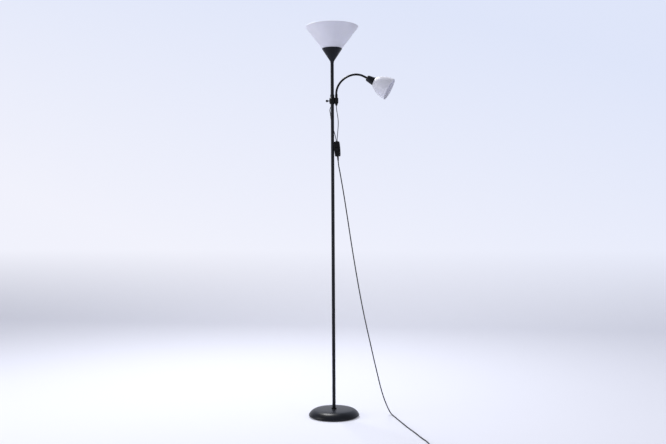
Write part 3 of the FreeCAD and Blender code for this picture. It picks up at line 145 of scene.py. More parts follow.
SUPPLY_CORD_ROUTE = [
    (25.437, 0.0, 1152.634), (26.693, 0.0, 1134.68), (31.6, 1.4, 1110.0), (37.2, 3.5, 1076.0),
    (45.0, 6.1, 1028.0), (54.7, 9.2, 964.0), (64.7, 12.5, 894.0), (74.6, 16.2, 822.0),
    (84.9, 20.2, 750.0), (95.7, 24.5, 678.0), (107.0, 29.0, 606.0), (118.9, 33.8, 534.0),
    (131.9, 39.0, 462.0), (146.2, 44.7, 390.0), (161.1, 50.3, 320.0), (175.6, 56.0, 250.0),
    (190.0, 61.6, 184.0), (203.4, 67.0, 124.0), (216.0, 71.6, 79.0), (227.8, 76.0, 46.0),
    (239.5, 77.8, 19.5), (250.5, 70.0, 5.4), (261.5, 48.4, 2.8), (275.4, 17.6, 2.6),
    (297.0, -34.8, 2.6), (320.8, -91.0, 2.6), (345.0, -147.6, 2.6), (370.9, -203.5, 2.6),
    (396.6, -259.2, 2.6), (420.3, -315.6, 2.6), (448.2, -369.6, 2.6), (465.0, -424.0, 2.6),
    (470.5, -474.0, 2.6), (461.0, -516.0, 2.6), (436.0, -543.0, 3.4), (408.0, -556.0, 6.8),
    (388.0, -563.0, 6.8)]

# %% The cords that stay with the stand
lamp_cable = cord_curve("lamp_cable_cord", LAMP_CABLE_ROUTE, CABLE_RADIUS)
supply_cord = cord_curve("supply_cord_cord", SUPPLY_CORD_ROUTE, CORD_RADIUS)
for cord, node, route in ((lamp_cable, "lamp_cable", LAMP_CABLE_ROUTE),
                          (supply_cord, "supply_cord", SUPPLY_CORD_ROUTE)):
    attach(cord, "stand")
    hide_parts(node)
    print(node, "is", round(line_length(cord_line(route)), 3), "m long")

# %% [markdown]
# The reading light's cable hangs between the clamp and the switch, so it has to follow the
# clamp up the pole and round it. One joint at a time bends a mesh, so the cable's tube is cut
# in two: a lower half and an upper half.


# %% A helper that turns a curve into a mesh and cuts its length
def select_only(obj):
    """Make one object the only one that operators act on."""
    bpy.ops.object.select_all(action="DESELECT")
    obj.select_set(True)
    bpy.context.view_layer.objects.active = obj


def as_mesh(curve):
    """The same tube as a mesh, with its loose doubles merged."""
    select_only(curve)
    bpy.ops.object.convert(target="MESH")
    bpy.ops.object.mode_set(mode="EDIT")
    bpy.ops.mesh.select_all(action="SELECT")
    bpy.ops.mesh.remove_doubles(threshold=0.02 * MM)
    bpy.ops.object.mode_set(mode="OBJECT")
    return bpy.context.active_object


def cut_off(obj, place, outward):
    """Cut a tube square at a place, drop what lies beyond and close the end."""
    select_only(obj)
    bpy.ops.object.mode_set(mode="EDIT")
    bpy.ops.mesh.select_all(action="SELECT")
    bpy.ops.mesh.bisect(plane_co=place, plane_no=outward, use_fill=True, clear_outer=True)
    bpy.ops.object.mode_set(mode="OBJECT")


# %% The reading light's cable in two halves
reading_line = cord_line(READING_CABLE_ROUTE)
middle = Vector((0.0, 0.0, 1.318))
halves = []
for name, way in (("reading_cable_upper", 1), ("reading_cable_lower", -1)):
    half = as_mesh(cord_curve(name, READING_CABLE_ROUTE, CABLE_RADIUS))
    cut_off(half, middle, (0, 0, -way))
    line = [point for point in reading_line if way * (point.z - middle.z) >= 0]
    halves.append((half, line))
    print(name, "is", round(line_length(line), 3), "m long")
(reading_upper, upper_line), (reading_lower, lower_line) = halves
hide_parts("reading_cable")
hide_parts("reading_cable")


# %% [markdown]
# ## Finishes
# A finish starts from what the real surface is: its colour, how it reflects, and the small
# pattern that its making left. Colours are written as the hex values that a screen shows, and
# one function turns them to the linear values that shading needs. Object coordinates are in
# metres here, so a pattern's scale follows from its real size in millimetres.

# %% Helpers for colours, nodes and scales
def linear(hex_colour):
    """sRGB hex to linear red, green, blue and full alpha."""
    shares = [int(hex_colour[k:k + 2], 16) / 255 for k in (1, 3, 5)]
    return [c / 12.92 if c <= 0.04045 else ((c + 0.055) / 1.055) ** 2.4 for c in shares] + [1.0]


def add_node(tree, kind, inputs=None, **settings):
    """Add a shader node. Inputs are values, or sockets to link from."""
    made = tree.nodes.new(kind)
    for name, value in settings.items():
        setattr(made, name, value)
    for name, value in (inputs or {}).items():
        if isinstance(value, bpy.types.NodeSocket):
            tree.links.new(value, made.inputs[name])
        else:
            made.inputs[name].default_value = value
    return made


def per_metre(size_mm):
    """Texture scale for a pattern whose grains are this large."""
    return 1.0 / (size_mm * MM)


def new_finish(name):
    """An empty material with its shader, and the coordinates that its patterns use."""
    material = bpy.data.materials.new(name)
    material.use_nodes = True
    tree = material.node_tree
    shader = tree.nodes["Principled BSDF"]
    place = add_node(tree, "ShaderNodeTexCoord").outputs["Object"]
    return material, tree, shader, place


def set_constants(shader, **values):
    """Write numbers that hold all over the surface on the shader's own sockets."""
    for name, value in values.items():
        shader.inputs[name.replace("_", " ")].default_value = value


# %% [markdown]
# ### Satin powder coat
# The base and the tubes are steel with a satin black powder coat. The powder melts and flows,
# which leaves a faint orange peel about a millimetre across. It breaks the highlight along
# the pole a little, and its gloss varies where the coat is thicker.

# %% Powder coat
def powder_coat():
    material, tree, shader, place = new_finish("satin_black_powder_coat")
    peel = add_node(tree, "ShaderNodeTexNoise", {
        "Vector": place, "Scale": per_metre(2.2), "Detail": 3.0, "Roughness": 0.55})
    drift = add_node(tree, "ShaderNodeTexNoise", {
        "Vector": place, "Scale": per_metre(45.0), "Detail": 4.0})
    tone = add_node(tree, "ShaderNodeValToRGB", {"Fac": drift.outputs["Fac"]})
    tone.color_ramp.elements[0].color = linear("#0A0C12")
    tone.color_ramp.elements[0].position = 0.3
    tone.color_ramp.elements[1].color = linear("#11141D")
    tone.color_ramp.elements[1].position = 0.75
    gloss = add_node(tree, "ShaderNodeMapRange", {
        "Value": peel.outputs["Fac"], "To Min": 0.30, "To Max": 0.40})
    relief = add_node(tree, "ShaderNodeBump", {
        "Height": peel.outputs["Fac"], "Strength": 0.25, "Distance": 0.06 * MM})
    tree.links.new(tone.outputs["Color"], shader.inputs["Base Color"])
    tree.links.new(gloss.outputs["Result"], shader.inputs["Roughness"])
    tree.links.new(relief.outputs["Normal"], shader.inputs["Normal"])
    set_constants(shader, IOR=1.52, Specular_IOR_Level=0.19)
    return material


# %% [markdown]
# ### Moulded black plastics
# The clamp, the switch case and the foot ring are moulded with a fine spark-eroded texture.
# The nylon liner, the rockers and the lampholders come from smoother moulds, so one function
# makes them all from a colour, a grain size and a range of roughness.

# %% Moulded plastic
def moulded_plastic(name, dark, light, grain_mm, depth_mm, smooth, rough):
    material, tree, shader, place = new_finish(name)
    grain = add_node(tree, "ShaderNodeTexNoise", {
        "Vector": place, "Scale": per_metre(grain_mm), "Detail": 4.0, "Roughness": 0.6})
    flow = add_node(tree, "ShaderNodeTexNoise", {
        "Vector": place, "Scale": per_metre(grain_mm * 22), "Detail": 2.0})
    tone = add_node(tree, "ShaderNodeValToRGB", {"Fac": flow.outputs["Fac"]})
    tone.color_ramp.elements[0].color = linear(dark)
    tone.color_ramp.elements[0].position = 0.3
    tone.color_ramp.elements[1].color = linear(light)
    tone.color_ramp.elements[1].position = 0.7
    gloss = add_node(tree, "ShaderNodeMapRange", {
        "Value": grain.outputs["Fac"], "From Min": 0.3, "From Max": 0.7,
        "To Min": smooth, "To Max": rough})
    relief = add_node(tree, "ShaderNodeBump", {
        "Height": grain.outputs["Fac"], "Strength": 0.5, "Distance": depth_mm * MM})
    tree.links.new(tone.outputs["Color"], shader.inputs["Base Color"])
    tree.links.new(gloss.outputs["Result"], shader.inputs["Roughness"])
    tree.links.new(relief.outputs["Normal"], shader.inputs["Normal"])
    set_constants(shader, IOR=1.5, Specular_IOR_Level=0.14)
    return material


# %% [markdown]
# ### Opal plastic
# Both shades are moulded from white opal plastic, about two millimetres thick. Light enters
# the wall, scatters and comes out a few millimetres away, which rounds off every shadow.
# Subsurface scattering with a short radius does that. The faint cloudiness is pigment.

# %% Opal plastic
def opal_plastic():
    material, tree, shader, place = new_finish("white_opal_acrylic")
    cloud = add_node(tree, "ShaderNodeTexNoise", {
        "Vector": place, "Scale": per_metre(60.0), "Detail": 3.0})
    tone = add_node(tree, "ShaderNodeValToRGB", {"Fac": cloud.outputs["Fac"]})
    tone.color_ramp.elements[0].color = linear("#CFCFD8")
    tone.color_ramp.elements[0].position = 0.3
    tone.color_ramp.elements[1].color = linear("#D6D6DE")
    tone.color_ramp.elements[1].position = 0.7
    satin = add_node(tree, "ShaderNodeTexNoise", {
        "Vector": place, "Scale": per_metre(1.4), "Detail": 2.0})
    gloss = add_node(tree, "ShaderNodeMapRange", {
        "Value": satin.outputs["Fac"], "To Min": 0.36, "To Max": 0.46})
    relief = add_node(tree, "ShaderNodeBump", {
        "Height": satin.outputs["Fac"], "Strength": 0.2, "Distance": 0.02 * MM})
    tree.links.new(tone.outputs["Color"], shader.inputs["Base Color"])
    tree.links.new(gloss.outputs["Result"], shader.inputs["Roughness"])
    tree.links.new(relief.outputs["Normal"], shader.inputs["Normal"])
    set_constants(shader, IOR=1.49, Subsurface_Weight=0.4, Subsurface_Scale=2.5 * MM,
                  Subsurface_Radius=(1.0, 1.0, 1.0), Specular_IOR_Level=0.35)
    return material


# %% [markdown]
# ### Bulbs
# The bulbs are frosted glass with a thin white coat inside, a little brighter and glossier
# than the shades around them. Their caps are rolled aluminium.

# %% Bulb glass
def frosted_bulb():
    material, tree, shader, place = new_finish("frosted_opal_glass")
    coat = add_node(tree, "ShaderNodeTexNoise", {
        "Vector": place, "Scale": per_metre(14.0), "Detail": 3.0})
    tone = add_node(tree, "ShaderNodeValToRGB", {"Fac": coat.outputs["Fac"]})
    tone.color_ramp.elements[0].color = linear("#E6E7EC")
    tone.color_ramp.elements[1].color = linear("#F2F2F4")
    gloss = add_node(tree, "ShaderNodeMapRange", {
        "Value": coat.outputs["Fac"], "To Min": 0.14, "To Max": 0.24})
    tree.links.new(tone.outputs["Color"], shader.inputs["Base Color"])
    tree.links.new(gloss.outputs["Result"], shader.inputs["Roughness"])
    set_constants(shader, IOR=1.5, Subsurface_Weight=0.2, Subsurface_Scale=2.0 * MM,
                  Subsurface_Radius=(1.0, 1.0, 1.0))
    return material


# %% [markdown]
# ### Bare metals
# Nuts and studs are zinc plated, contacts are brass, pins are nickel plated and the bulbs'
# caps are aluminium. Each has fine drawn or turned lines, so stretched noise roughens it.

# %% Bare metal
def bare_metal(name, dark, light, line_mm, smooth, rough):
    material, tree, shader, place = new_finish(name)
    stretched = add_node(tree, "ShaderNodeMapping", {
        "Vector": place, "Scale": (1.0, 1.0, 6.0)})
    lines = add_node(tree, "ShaderNodeTexNoise", {
        "Vector": stretched.outputs["Vector"], "Scale": per_metre(line_mm), "Detail": 4.0})
    tone = add_node(tree, "ShaderNodeValToRGB", {"Fac": lines.outputs["Fac"]})
    tone.color_ramp.elements[0].color = linear(dark)
    tone.color_ramp.elements[1].color = linear(light)
    gloss = add_node(tree, "ShaderNodeMapRange", {
        "Value": lines.outputs["Fac"], "To Min": smooth, "To Max": rough})
    relief = add_node(tree, "ShaderNodeBump", {
        "Height": lines.outputs["Fac"], "Strength": 0.2, "Distance": 0.02 * MM})
    tree.links.new(tone.outputs["Color"], shader.inputs["Base Color"])
    tree.links.new(gloss.outputs["Result"], shader.inputs["Roughness"])
    tree.links.new(relief.outputs["Normal"], shader.inputs["Normal"])
    set_constants(shader, Metallic=1.0)
    return material


# %% [markdown]
# ### Felt and cast iron
# Under the base is needled felt, a mat of fibres with a soft sheen. The weight is rough cast
# iron under a thin coat of black paint.

# %% Felt
def needled_felt():
    material, tree, shader, place = new_finish("needled_black_felt")
    fibres = add_node(tree, "ShaderNodeTexNoise", {
        "Vector": place, "Scale": per_metre(0.8), "Detail": 6.0, "Roughness": 0.8,
        "Distortion": 1.5})
    tone = add_node(tree, "ShaderNodeValToRGB", {"Fac": fibres.outputs["Fac"]})
    tone.color_ramp.elements[0].color = linear("#1E1E20")
    tone.color_ramp.elements[1].color = linear("#38383C")
    relief = add_node(tree, "ShaderNodeBump", {
        "Height": fibres.outputs["Fac"], "Strength": 0.8, "Distance": 0.3 * MM})
    tree.links.new(tone.outputs["Color"], shader.inputs["Base Color"])
    tree.links.new(relief.outputs["Normal"], shader.inputs["Normal"])
    set_constants(shader, Roughness=0.95, Sheen_Weight=0.3)
    return material


# %% Cast iron
def painted_casting():
    material, tree, shader, place = new_finish("painted_cast_iron")
    sand = add_node(tree, "ShaderNodeTexNoise", {
        "Vector": place, "Scale": per_metre(1.6), "Detail": 5.0, "Roughness": 0.7})
    tone = add_node(tree, "ShaderNodeValToRGB", {"Fac": sand.outputs["Fac"]})
    tone.color_ramp.elements[0].color = linear("#2A2A2C")
    tone.color_ramp.elements[1].color = linear("#47464A")
    relief = add_node(tree, "ShaderNodeBump", {
        "Height": sand.outputs["Fac"], "Strength": 0.8, "Distance": 0.4 * MM})
    tree.links.new(tone.outputs["Color"], shader.inputs["Base Color"])
    tree.links.new(relief.outputs["Normal"], shader.inputs["Normal"])
    set_constants(shader, Roughness=0.7, Metallic=0.3)
    return material


# %% [markdown]
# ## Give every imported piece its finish
# The record says which slot each piece takes its finish from, so one loop dresses them all.

# %% Finishes by slot
FINISHES = {
    "felt": needled_felt(),
    "cast_iron": painted_casting(),
    "satin_black_steel": powder_coat(),
    "zinc_steel": bare_metal("zinc_plated_steel", "#A9ABB0", "#C9CBD0", 0.9, 0.28, 0.42),
    "black_plastic": moulded_plastic(
        "textured_black_abs", "#08080A", "#0E0E11", 0.7, 0.05, 0.40, 0.56),
    "black_nylon": moulded_plastic(
        "smooth_black_nylon", "#111214", "#17181B", 1.1, 0.02, 0.34, 0.44),
    "lampholder_plastic": moulded_plastic(
        "black_phenolic", "#141312", "#1D1B18", 1.3, 0.03, 0.30, 0.42),
    "rocker_plastic": moulded_plastic(
        "polished_black_abs", "#101113", "#16171A", 1.5, 0.01, 0.14, 0.22),
    "black_rubber": moulded_plastic(
        "soft_black_rubber", "#0F0F10", "#151517", 0.6, 0.04, 0.55, 0.68),
    "arm_sleeve": moulded_plastic(
        "satin_black_vinyl_sleeve", "#060607", "#0B0B0E", 1.8, 0.02, 0.36, 0.46),
    "black_cable": moulded_plastic(
        "satin_black_pvc", "#0E0F12", "#15161A", 1.2, 0.03, 0.36, 0.48),
    "plug_plastic": moulded_plastic(
        "moulded_black_pvc", "#111215", "#191A1D", 0.9, 0.04, 0.42, 0.54),
    "brass": bare_metal("bright_brass", "#B58C3E", "#D9B765", 0.7, 0.22, 0.34),
    "nickel_pins": bare_metal("nickel_plate", "#B4B1AA", "#D6D3CC", 0.8, 0.14, 0.24),
    "opal_plastic": opal_plastic(),
    "opal_glass": frosted_bulb(),
    "bulb_cap_aluminium": bare_metal("rolled_aluminium", "#B7B9BD", "#DADBDD", 0.8, 0.24, 0.36),
}


def dress(obj, slot):
    """Give a piece the finish of a slot of the record."""
    obj.data.materials.clear()
    obj.data.materials.append(FINISHES[slot])


for subpart in frame["record"]["subparts"]:
    packed_piece = frame["nodes"][subpart["node"]]
    for material_slot in packed_piece.material_slots:
        material_slot.material = FINISHES[subpart["material_slot"]]
for cord in (lamp_cable, supply_cord, reading_upper, reading_lower):
    dress(cord, "black_cable")
print(len(FINISHES), "finishes on", len(frame["nodes"]), "packed pieces")


# %% [markdown]
# ## The bendable arm
# The arm is a coiled steel core inside a smooth black sleeve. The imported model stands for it
# with links on eight hinges, which bend and sway it by turns, so the sleeve is drawn in
# lengths from joint to joint. Each length ends in a ball round its joint, so neighbours stay
# closed when the arm bends.

# %% The arm's centreline
ARM_X = 18.5
ARM_START_Z = 1412.75
ARM_STRAIGHT = 43.3
ARM_ARCS = ((78.0, 36.0), (93.5, 45.0), (78.0, 37.5))
ARM_END_RUN = 16.5
ARM_RADIUS = 4.8
ARM_LINKS = 8
ARM_LENGTH = (ARM_STRAIGHT + sum(math.radians(turn) * radius for radius, turn in ARM_ARCS)
              + ARM_END_RUN)


def arm_point(distance):
    """Place and direction at a distance along the arm, in millimetres."""
    here = Vector((ARM_X, 0.0, ARM_START_Z))
    heading = math.pi / 2
    runs = [(ARM_STRAIGHT, 0.0)]
    runs += [(math.radians(turn) * radius, radius) for radius, turn in ARM_ARCS]
    runs.append((ARM_LENGTH, 0.0))
    for length, radius in runs:
        step = min(distance, length)
        turn = step / radius if radius else 0.0
        chord = 2 * radius * math.sin(turn / 2) if radius else step
        way = heading - turn / 2
        here = here + Vector((math.cos(way), 0.0, math.sin(way))) * chord
        heading -= turn
        distance -= step
        if distance <= 0:
            break
    return here * MM, Vector((math.cos(heading), 0.0, math.sin(heading)))


# %% The sleeve from joint to joint
SLEEVE_STEP = 2.4
SLEEVE_LOW = 37.0
SLEEVE_HIGH = ARM_LENGTH + 3.0
FIRST_PIVOT = 48.5
LAST_PIVOT = ARM_LENGTH - 24.0
SLEEVE_CORNERS = 40
BALL_TURNS = (80, 60, 40, 20)
pivot_gap = (LAST_PIVOT - FIRST_PIVOT) / (ARM_LINKS - 1)
pivots = [FIRST_PIVOT + pivot_gap * k for k in range(ARM_LINKS)]
sleeve_ends = [SLEEVE_LOW, *pivots, SLEEVE_HIGH]
arm_bodies = ["clamp"] + ["arm_%d" % (k + 1) for k in range(ARM_LINKS - 1)] + ["reading_head"]


def sleeve_profile(low, high, low_ball, high_ball):
    """Distances and radii of a length of sleeve, with a ball round either end."""
    steps = max(2, round((high - low) / SLEEVE_STEP))
    rings = [(low + (high - low) * k / steps, ARM_RADIUS) for k in range(steps + 1)]
    ball = [(ARM_RADIUS * math.sin(math.radians(turn)), ARM_RADIUS * math.cos(math.radians(turn)))
            for turn in BALL_TURNS]
    if low_ball:
        rings = [(low - reach, radius) for reach, radius in ball] + rings
    if high_ball:
        rings = rings + [(high + reach, radius) for reach, radius in reversed(ball)]
    return rings


def arm_tube(name, rings):
    """A round tube along the arm, grown ring by ring."""
    place, way = arm_point(rings[0][0])
    turn = Vector((0, 0, 1)).rotation_difference(way)
    bpy.ops.object.select_all(action="DESELECT")
    bpy.ops.mesh.primitive_circle_add(
        vertices=SLEEVE_CORNERS, radius=rings[0][1] * MM, fill_type="NGON", location=place,
        rotation=turn.to_euler())
    tube = bpy.context.active_object
    tube.name = name
    bpy.ops.object.transform_apply()
    bpy.ops.object.mode_set(mode="EDIT")
    bpy.ops.mesh.select_all(action="SELECT")
    for (_, radius), (distance, next_radius) in zip(rings, rings[1:]):
        after, after_way = arm_point(distance)
        bpy.ops.mesh.extrude_region_move(TRANSFORM_OT_translate={"value": after - place})
        bend = way.rotation_difference(after_way)
        if bend.angle > 1e-6:
            # Headless, the operator turns the other way round its axis.
            bpy.ops.transform.rotate(
                value=bend.axis.y * bend.angle * -1, orient_axis="Y", center_override=after)
        if next_radius != radius:
            share = next_radius / radius
            bpy.ops.transform.resize(value=(share, share, share), center_override=after)
        place, way = after, after_way
    bpy.ops.mesh.select_all(action="SELECT")
    bpy.ops.mesh.normals_make_consistent(inside=False)
    bpy.ops.object.mode_set(mode="OBJECT")
    bpy.ops.object.shade_smooth_by_angle(angle=math.radians(40))
    return tube


for k, body in enumerate(arm_bodies):
    rings = sleeve_profile(sleeve_ends[k], sleeve_ends[k + 1], k > 0, k < ARM_LINKS)
    sleeve = arm_tube("arm_sleeve_%d" % (k + 1), rings)
    dress(sleeve, "arm_sleeve")
    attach(sleeve, body)
    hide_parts("arm_link_%d" % k if k else "arm_root")
print("sleeve lengths", [round(high - low, 1) for low, high in zip(sleeve_ends, sleeve_ends[1:])])

# %% [markdown]
# ## Turned pieces
# Most shells of this lamp are pressed, moulded or turned round an axis. A ring of corners is
# pulled along the piece's outline: each step is an extrusion that moves the ring and a
# scaling that gives it the next radius. A thin wall's outline comes back along its inside and
# closes on its first ring. Edges get a small bevel, because no real edge is perfectly sharp,
# and the bevel is what catches the light.

# %% Helpers for turned pieces
def walled(outline_mm, wall_mm):
    """Close a thin wall's outline. Its inside lies to the left of the outline's way."""
    inside = []
    for k, (radius, height) in enumerate(outline_mm):
        before = outline_mm[max(k - 1, 0)]
        after = outline_mm[min(k + 1, len(outline_mm) - 1)]
        run = Vector((after[0] - before[0], after[1] - before[1])).normalized()
        inside.append((radius - run.y * wall_mm, height + run.x * wall_mm))
    return outline_mm + inside[::-1]


def turned(name, outline_mm, corners=96, solid=False):
    """A ring pulled along an outline of (radius, height). Flat ends close a solid one."""
    radius, height = outline_mm[0]
    bpy.ops.object.select_all(action="DESELECT")
    bpy.ops.mesh.primitive_circle_add(
        vertices=corners, radius=radius * MM, location=(0, 0, height * MM),
        fill_type="NGON" if solid else "NOTHING")
    body = bpy.context.active_object
    body.name = name
    bpy.ops.object.transform_apply()
    bpy.ops.object.mode_set(mode="EDIT")
    bpy.ops.mesh.select_mode(type="VERT")
    bpy.ops.mesh.select_all(action="SELECT")
    for next_radius, next_height in outline_mm[1:] + ([] if solid else outline_mm[:1]):
        rise = (next_height - height) * MM
        bpy.ops.mesh.extrude_region_move(TRANSFORM_OT_translate={"value": (0, 0, rise)})
        share = next_radius / radius
        bpy.ops.transform.resize(value=(share, share, 1), center_override=(0, 0, next_height * MM))
        radius, height = next_radius, next_height
    bpy.ops.mesh.select_all(action="SELECT")
    bpy.ops.mesh.remove_doubles(threshold=0.005 * MM)
    bpy.ops.mesh.normals_make_consistent(inside=False)
    bpy.ops.object.mode_set(mode="OBJECT")
    return body


SHARP_EDGE = math.radians(35)


def soften(obj, width_mm):
    """Round the sharp edges a little and shade the rest smooth."""
    select_only(obj)
    bevel = obj.modifiers.new("soft_edges", "BEVEL")
    bevel.width = width_mm * MM
    bevel.segments = 3
    bevel.limit_method = "ANGLE"
    bevel.angle_limit = SHARP_EDGE
    bpy.ops.object.modifier_apply(modifier=bevel.name)
    bpy.ops.object.shade_smooth_by_angle(angle=SHARP_EDGE)
    return obj


def placed(obj, matrix):
    """Move a piece made at the origin to its place, and keep the place in its mesh."""
    obj.matrix_world = matrix
    select_only(obj)
    bpy.ops.object.transform_apply()
    return obj


def mount(obj, slot, body, *nodes):
    """Dress a modelled piece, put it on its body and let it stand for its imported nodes."""
    dress(obj, slot)
    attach(obj, body)
    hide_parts(*nodes)
    print(obj.name, "has", len(obj.data.polygons), "faces")


# %% [markdown]
# ## Base and pole
# The base is a steel pressing: a foot that tucks in over the felt, a round shoulder and an
# almost flat crown, with a faint edge where the two meet. A small moulded ring hides the joint
# with the pole. The pole's four tubes are screwed together, and each tube's end is turned down
# a little, so a fine groove shows at every joint.

# %% Base cover and foot ring
BASE_OUTLINE = [
    (107.0, 2.0), (110.4, 3.2), (112.9, 5.6), (114.0, 9.0), (112.7, 11.9), (111.1, 14.6),
    (109.3, 17.3), (107.3, 19.8), (105.1, 22.2), (102.8, 24.4), (100.3, 26.4), (97.7, 28.2),
    (94.9, 29.8), (92.0, 31.1), (89.0, 32.3), (86.0, 33.2), (60.0, 34.4), (24.0, 35.5),
    (5.2, 35.5)]
base_cover = soften(turned("base_dome", walled(BASE_OUTLINE, 1.2), corners=144), 0.3)
mount(base_cover, "satin_black_steel", "stand", "base_cover")
foot_ring = soften(turned("pole_foot_ring", [
    (7.55, 35.5), (11.4, 35.5), (11.7, 36.0), (11.7, 37.4), (9.6, 40.0), (7.55, 40.0)]), 0.3)
mount(foot_ring, "black_plastic", "stand", "foot_ring")

# %% The pole's four tubes
POLE_RADIUS = 7.5
POLE_WALL = 0.9
POLE_LOW = 35.5
TUBE_LENGTH = 392.0
GROOVE = 0.4
for k in range(4):
    low = POLE_LOW + k * TUBE_LENGTH
    high = low + TUBE_LENGTH
    tube = turned("pole_tube_%d" % (k + 1), walled([
        (POLE_RADIUS - GROOVE, low), (POLE_RADIUS, low + GROOVE), (POLE_RADIUS, high - GROOVE),
        (POLE_RADIUS - GROOVE, high)], POLE_WALL - GROOVE), corners=64)
    mount(soften(tube, 0.1), "satin_black_steel", "stand", "pole_section_%d" % (k + 1))

# %% [markdown]
# ## The uplight
# A black cone is pressed from sheet and painted. In its mouth stands the opal cone, which
# goes down to the lampholder's flange, where a ribbed ring holds it. Its rim is rounded over,
# as a moulding's edge is. Every second face round the ring is pulled out for its ribs.

# %% Cup, shade and ring
cup = turned("uplight_cone_cup", walled([
    (8.5, 1598.5), (8.5, 1603.2), (9.2, 1604.6), (45.5, 1659.7), (46.0, 1660.5)], 1.0), corners=112)
mount(soften(cup, 0.3), "satin_black_steel", "stand", "uplight_cup")
opal_cone = turned("uplight_opal_cone", walled([
    (19.7, 1636.0), (25.2, 1636.0), (43.8, 1660.5), (119.4, 1758.7)], 2.0), corners=144)
mount(soften(opal_cone, 0.7), "opal_plastic", "stand", "uplight_shade")

RING_RIBS = 36
RING_WALL = 4.7
RING_HEIGHT = 6.0
RIB_DEPTH = 0.7


def grip_ring(name, barrel_mm, low_mm):
    """A threaded ring with ribs round it for the fingers."""
    reach = barrel_mm + RING_WALL
    high_mm = low_mm + RING_HEIGHT
    corners = 2 * RING_RIBS
    ring = turned(name, [
        (barrel_mm, low_mm), (reach - 1.4, low_mm), (reach, low_mm + 1.6), (reach, low_mm + 5.4),
        (reach - 0.6, high_mm), (barrel_mm, high_mm)], corners=corners)
    bpy.ops.object.mode_set(mode="EDIT")
    bpy.ops.mesh.select_mode(type="FACE")
    bpy.ops.mesh.select_all(action="DESELECT")
    mesh = bmesh.from_edit_mesh(ring.data)
    for face in mesh.faces:
        middle = face.calc_center_median()
        outside = math.hypot(middle.x, middle.y) > (reach - 0.2) * MM and abs(face.normal.z) < 0.1
        place = math.atan2(middle.y, middle.x) % math.tau / math.tau * corners
        face.select_set(outside and round(place - 0.5) % 2 == 0)
    bmesh.update_edit_mesh(ring.data)
    bpy.ops.mesh.extrude_region_shrink_fatten(TRANSFORM_OT_shrink_fatten={"value": RIB_DEPTH * MM})
    bpy.ops.object.mode_set(mode="OBJECT")
    return ring


mount(soften(grip_ring("uplight_grip_ring", 19.55, 1638.0), 0.15), "lampholder_plastic", "stand",
      "uplight_shade_ring")

# %% [markdown]
# ## The reading head
# The small cup and the bell are made upright, as on a lathe, and then set at the end of the
# arm along its direction. The bell widens quickly beside the lampholder and slowly towards
# its mouth.

# %% Cup, bell and ring at the end of the arm
head_point, head_way = arm_point(ARM_LENGTH)
head_turn = Vector((0, 0, 1)).rotation_difference(head_way)
head_place = Matrix.Translation(head_point) @ head_turn.to_matrix().to_4x4()
small_cup = soften(turned("reading_small_cup", walled([
    (4.9, 0.0), (10.6, 0.0), (12.9, 2.4), (14.4, 8.0), (15.8, 19.0), (18.6, 38.0)], 1.3)), 0.35)
mount(placed(small_cup, head_place), "satin_black_steel", "reading_head", "reading_cup")
bell = soften(turned("reading_opal_bell", walled([
    (13.5, 38.5), (19.4, 38.5), (23.6, 41.4), (28.2, 46.2), (33.5, 54.0), (37.7, 62.0),
    (41.4, 71.0), (44.4, 80.0), (46.5, 88.0), (48.1, 95.5), (49.5, 105.0), (50.3, 115.4)], 1.8),
    corners=128), 0.6)
mount(placed(bell, head_place), "opal_plastic", "reading_head", "reading_shade")
small_ring = soften(grip_ring("reading_grip_ring", 13.45, 40.3), 0.15)
mount(placed(small_ring, head_place), "lampholder_plastic", "reading_head", "reading_shade_ring")

# %% [markdown]
# ## The thumbscrew
# The clamp is locked by a blackened steel screw with a moulded wing. The screw's thread is
# drawn as a stack of ridges 0.8 mm apart, which looks the same at this size. The wing starts
# as a block that is cut into small faces: its hub is swollen, its tips are thinned, and a
# subdivision surface rounds it.

# %% Screw and wing
CLAMP_HEIGHT_Z = 1425.5
SCREW_RADIUS = 2.5
ROOT_RADIUS = 2.15
THREAD_PITCH = 0.8
THREAD_RIDGES = 13
thread = [(1.9, 9.7)]
for k in range(THREAD_RIDGES):
    crest = 10.4 + k * THREAD_PITCH
    thread += [(SCREW_RADIUS, crest), (ROOT_RADIUS, crest + THREAD_PITCH / 2)]
thread += [(SCREW_RADIUS, 20.9), (SCREW_RADIUS, 25.7)]
screw_turn = Vector((0, 0, 1)).rotation_difference(Vector((-1, 0, 0))).to_matrix().to_4x4()
screw_place = Matrix.Translation((0, 0, CLAMP_HEIGHT_Z * MM)) @ screw_turn
screw = placed(turned("clamp_screw", thread, corners=32, solid=True), screw_place)
bpy.ops.object.shade_smooth_by_angle(angle=math.radians(50))
mount(screw, "satin_black_steel", "thumbscrew", "thumbscrew")


def resize_where(obj, chosen, size, centre):
    """Scale the points whose place passes a test. The object is in edit mode."""
    bpy.ops.mesh.select_mode(type="VERT")
    bpy.ops.mesh.select_all(action="DESELECT")
    mesh = bmesh.from_edit_mesh(obj.data)
    for vertex in mesh.verts:
        vertex.select_set(chosen(vertex.co))
    mesh.select_flush(True)
    bmesh.update_edit_mesh(obj.data)
    bpy.ops.transform.resize(value=size, center_override=centre)


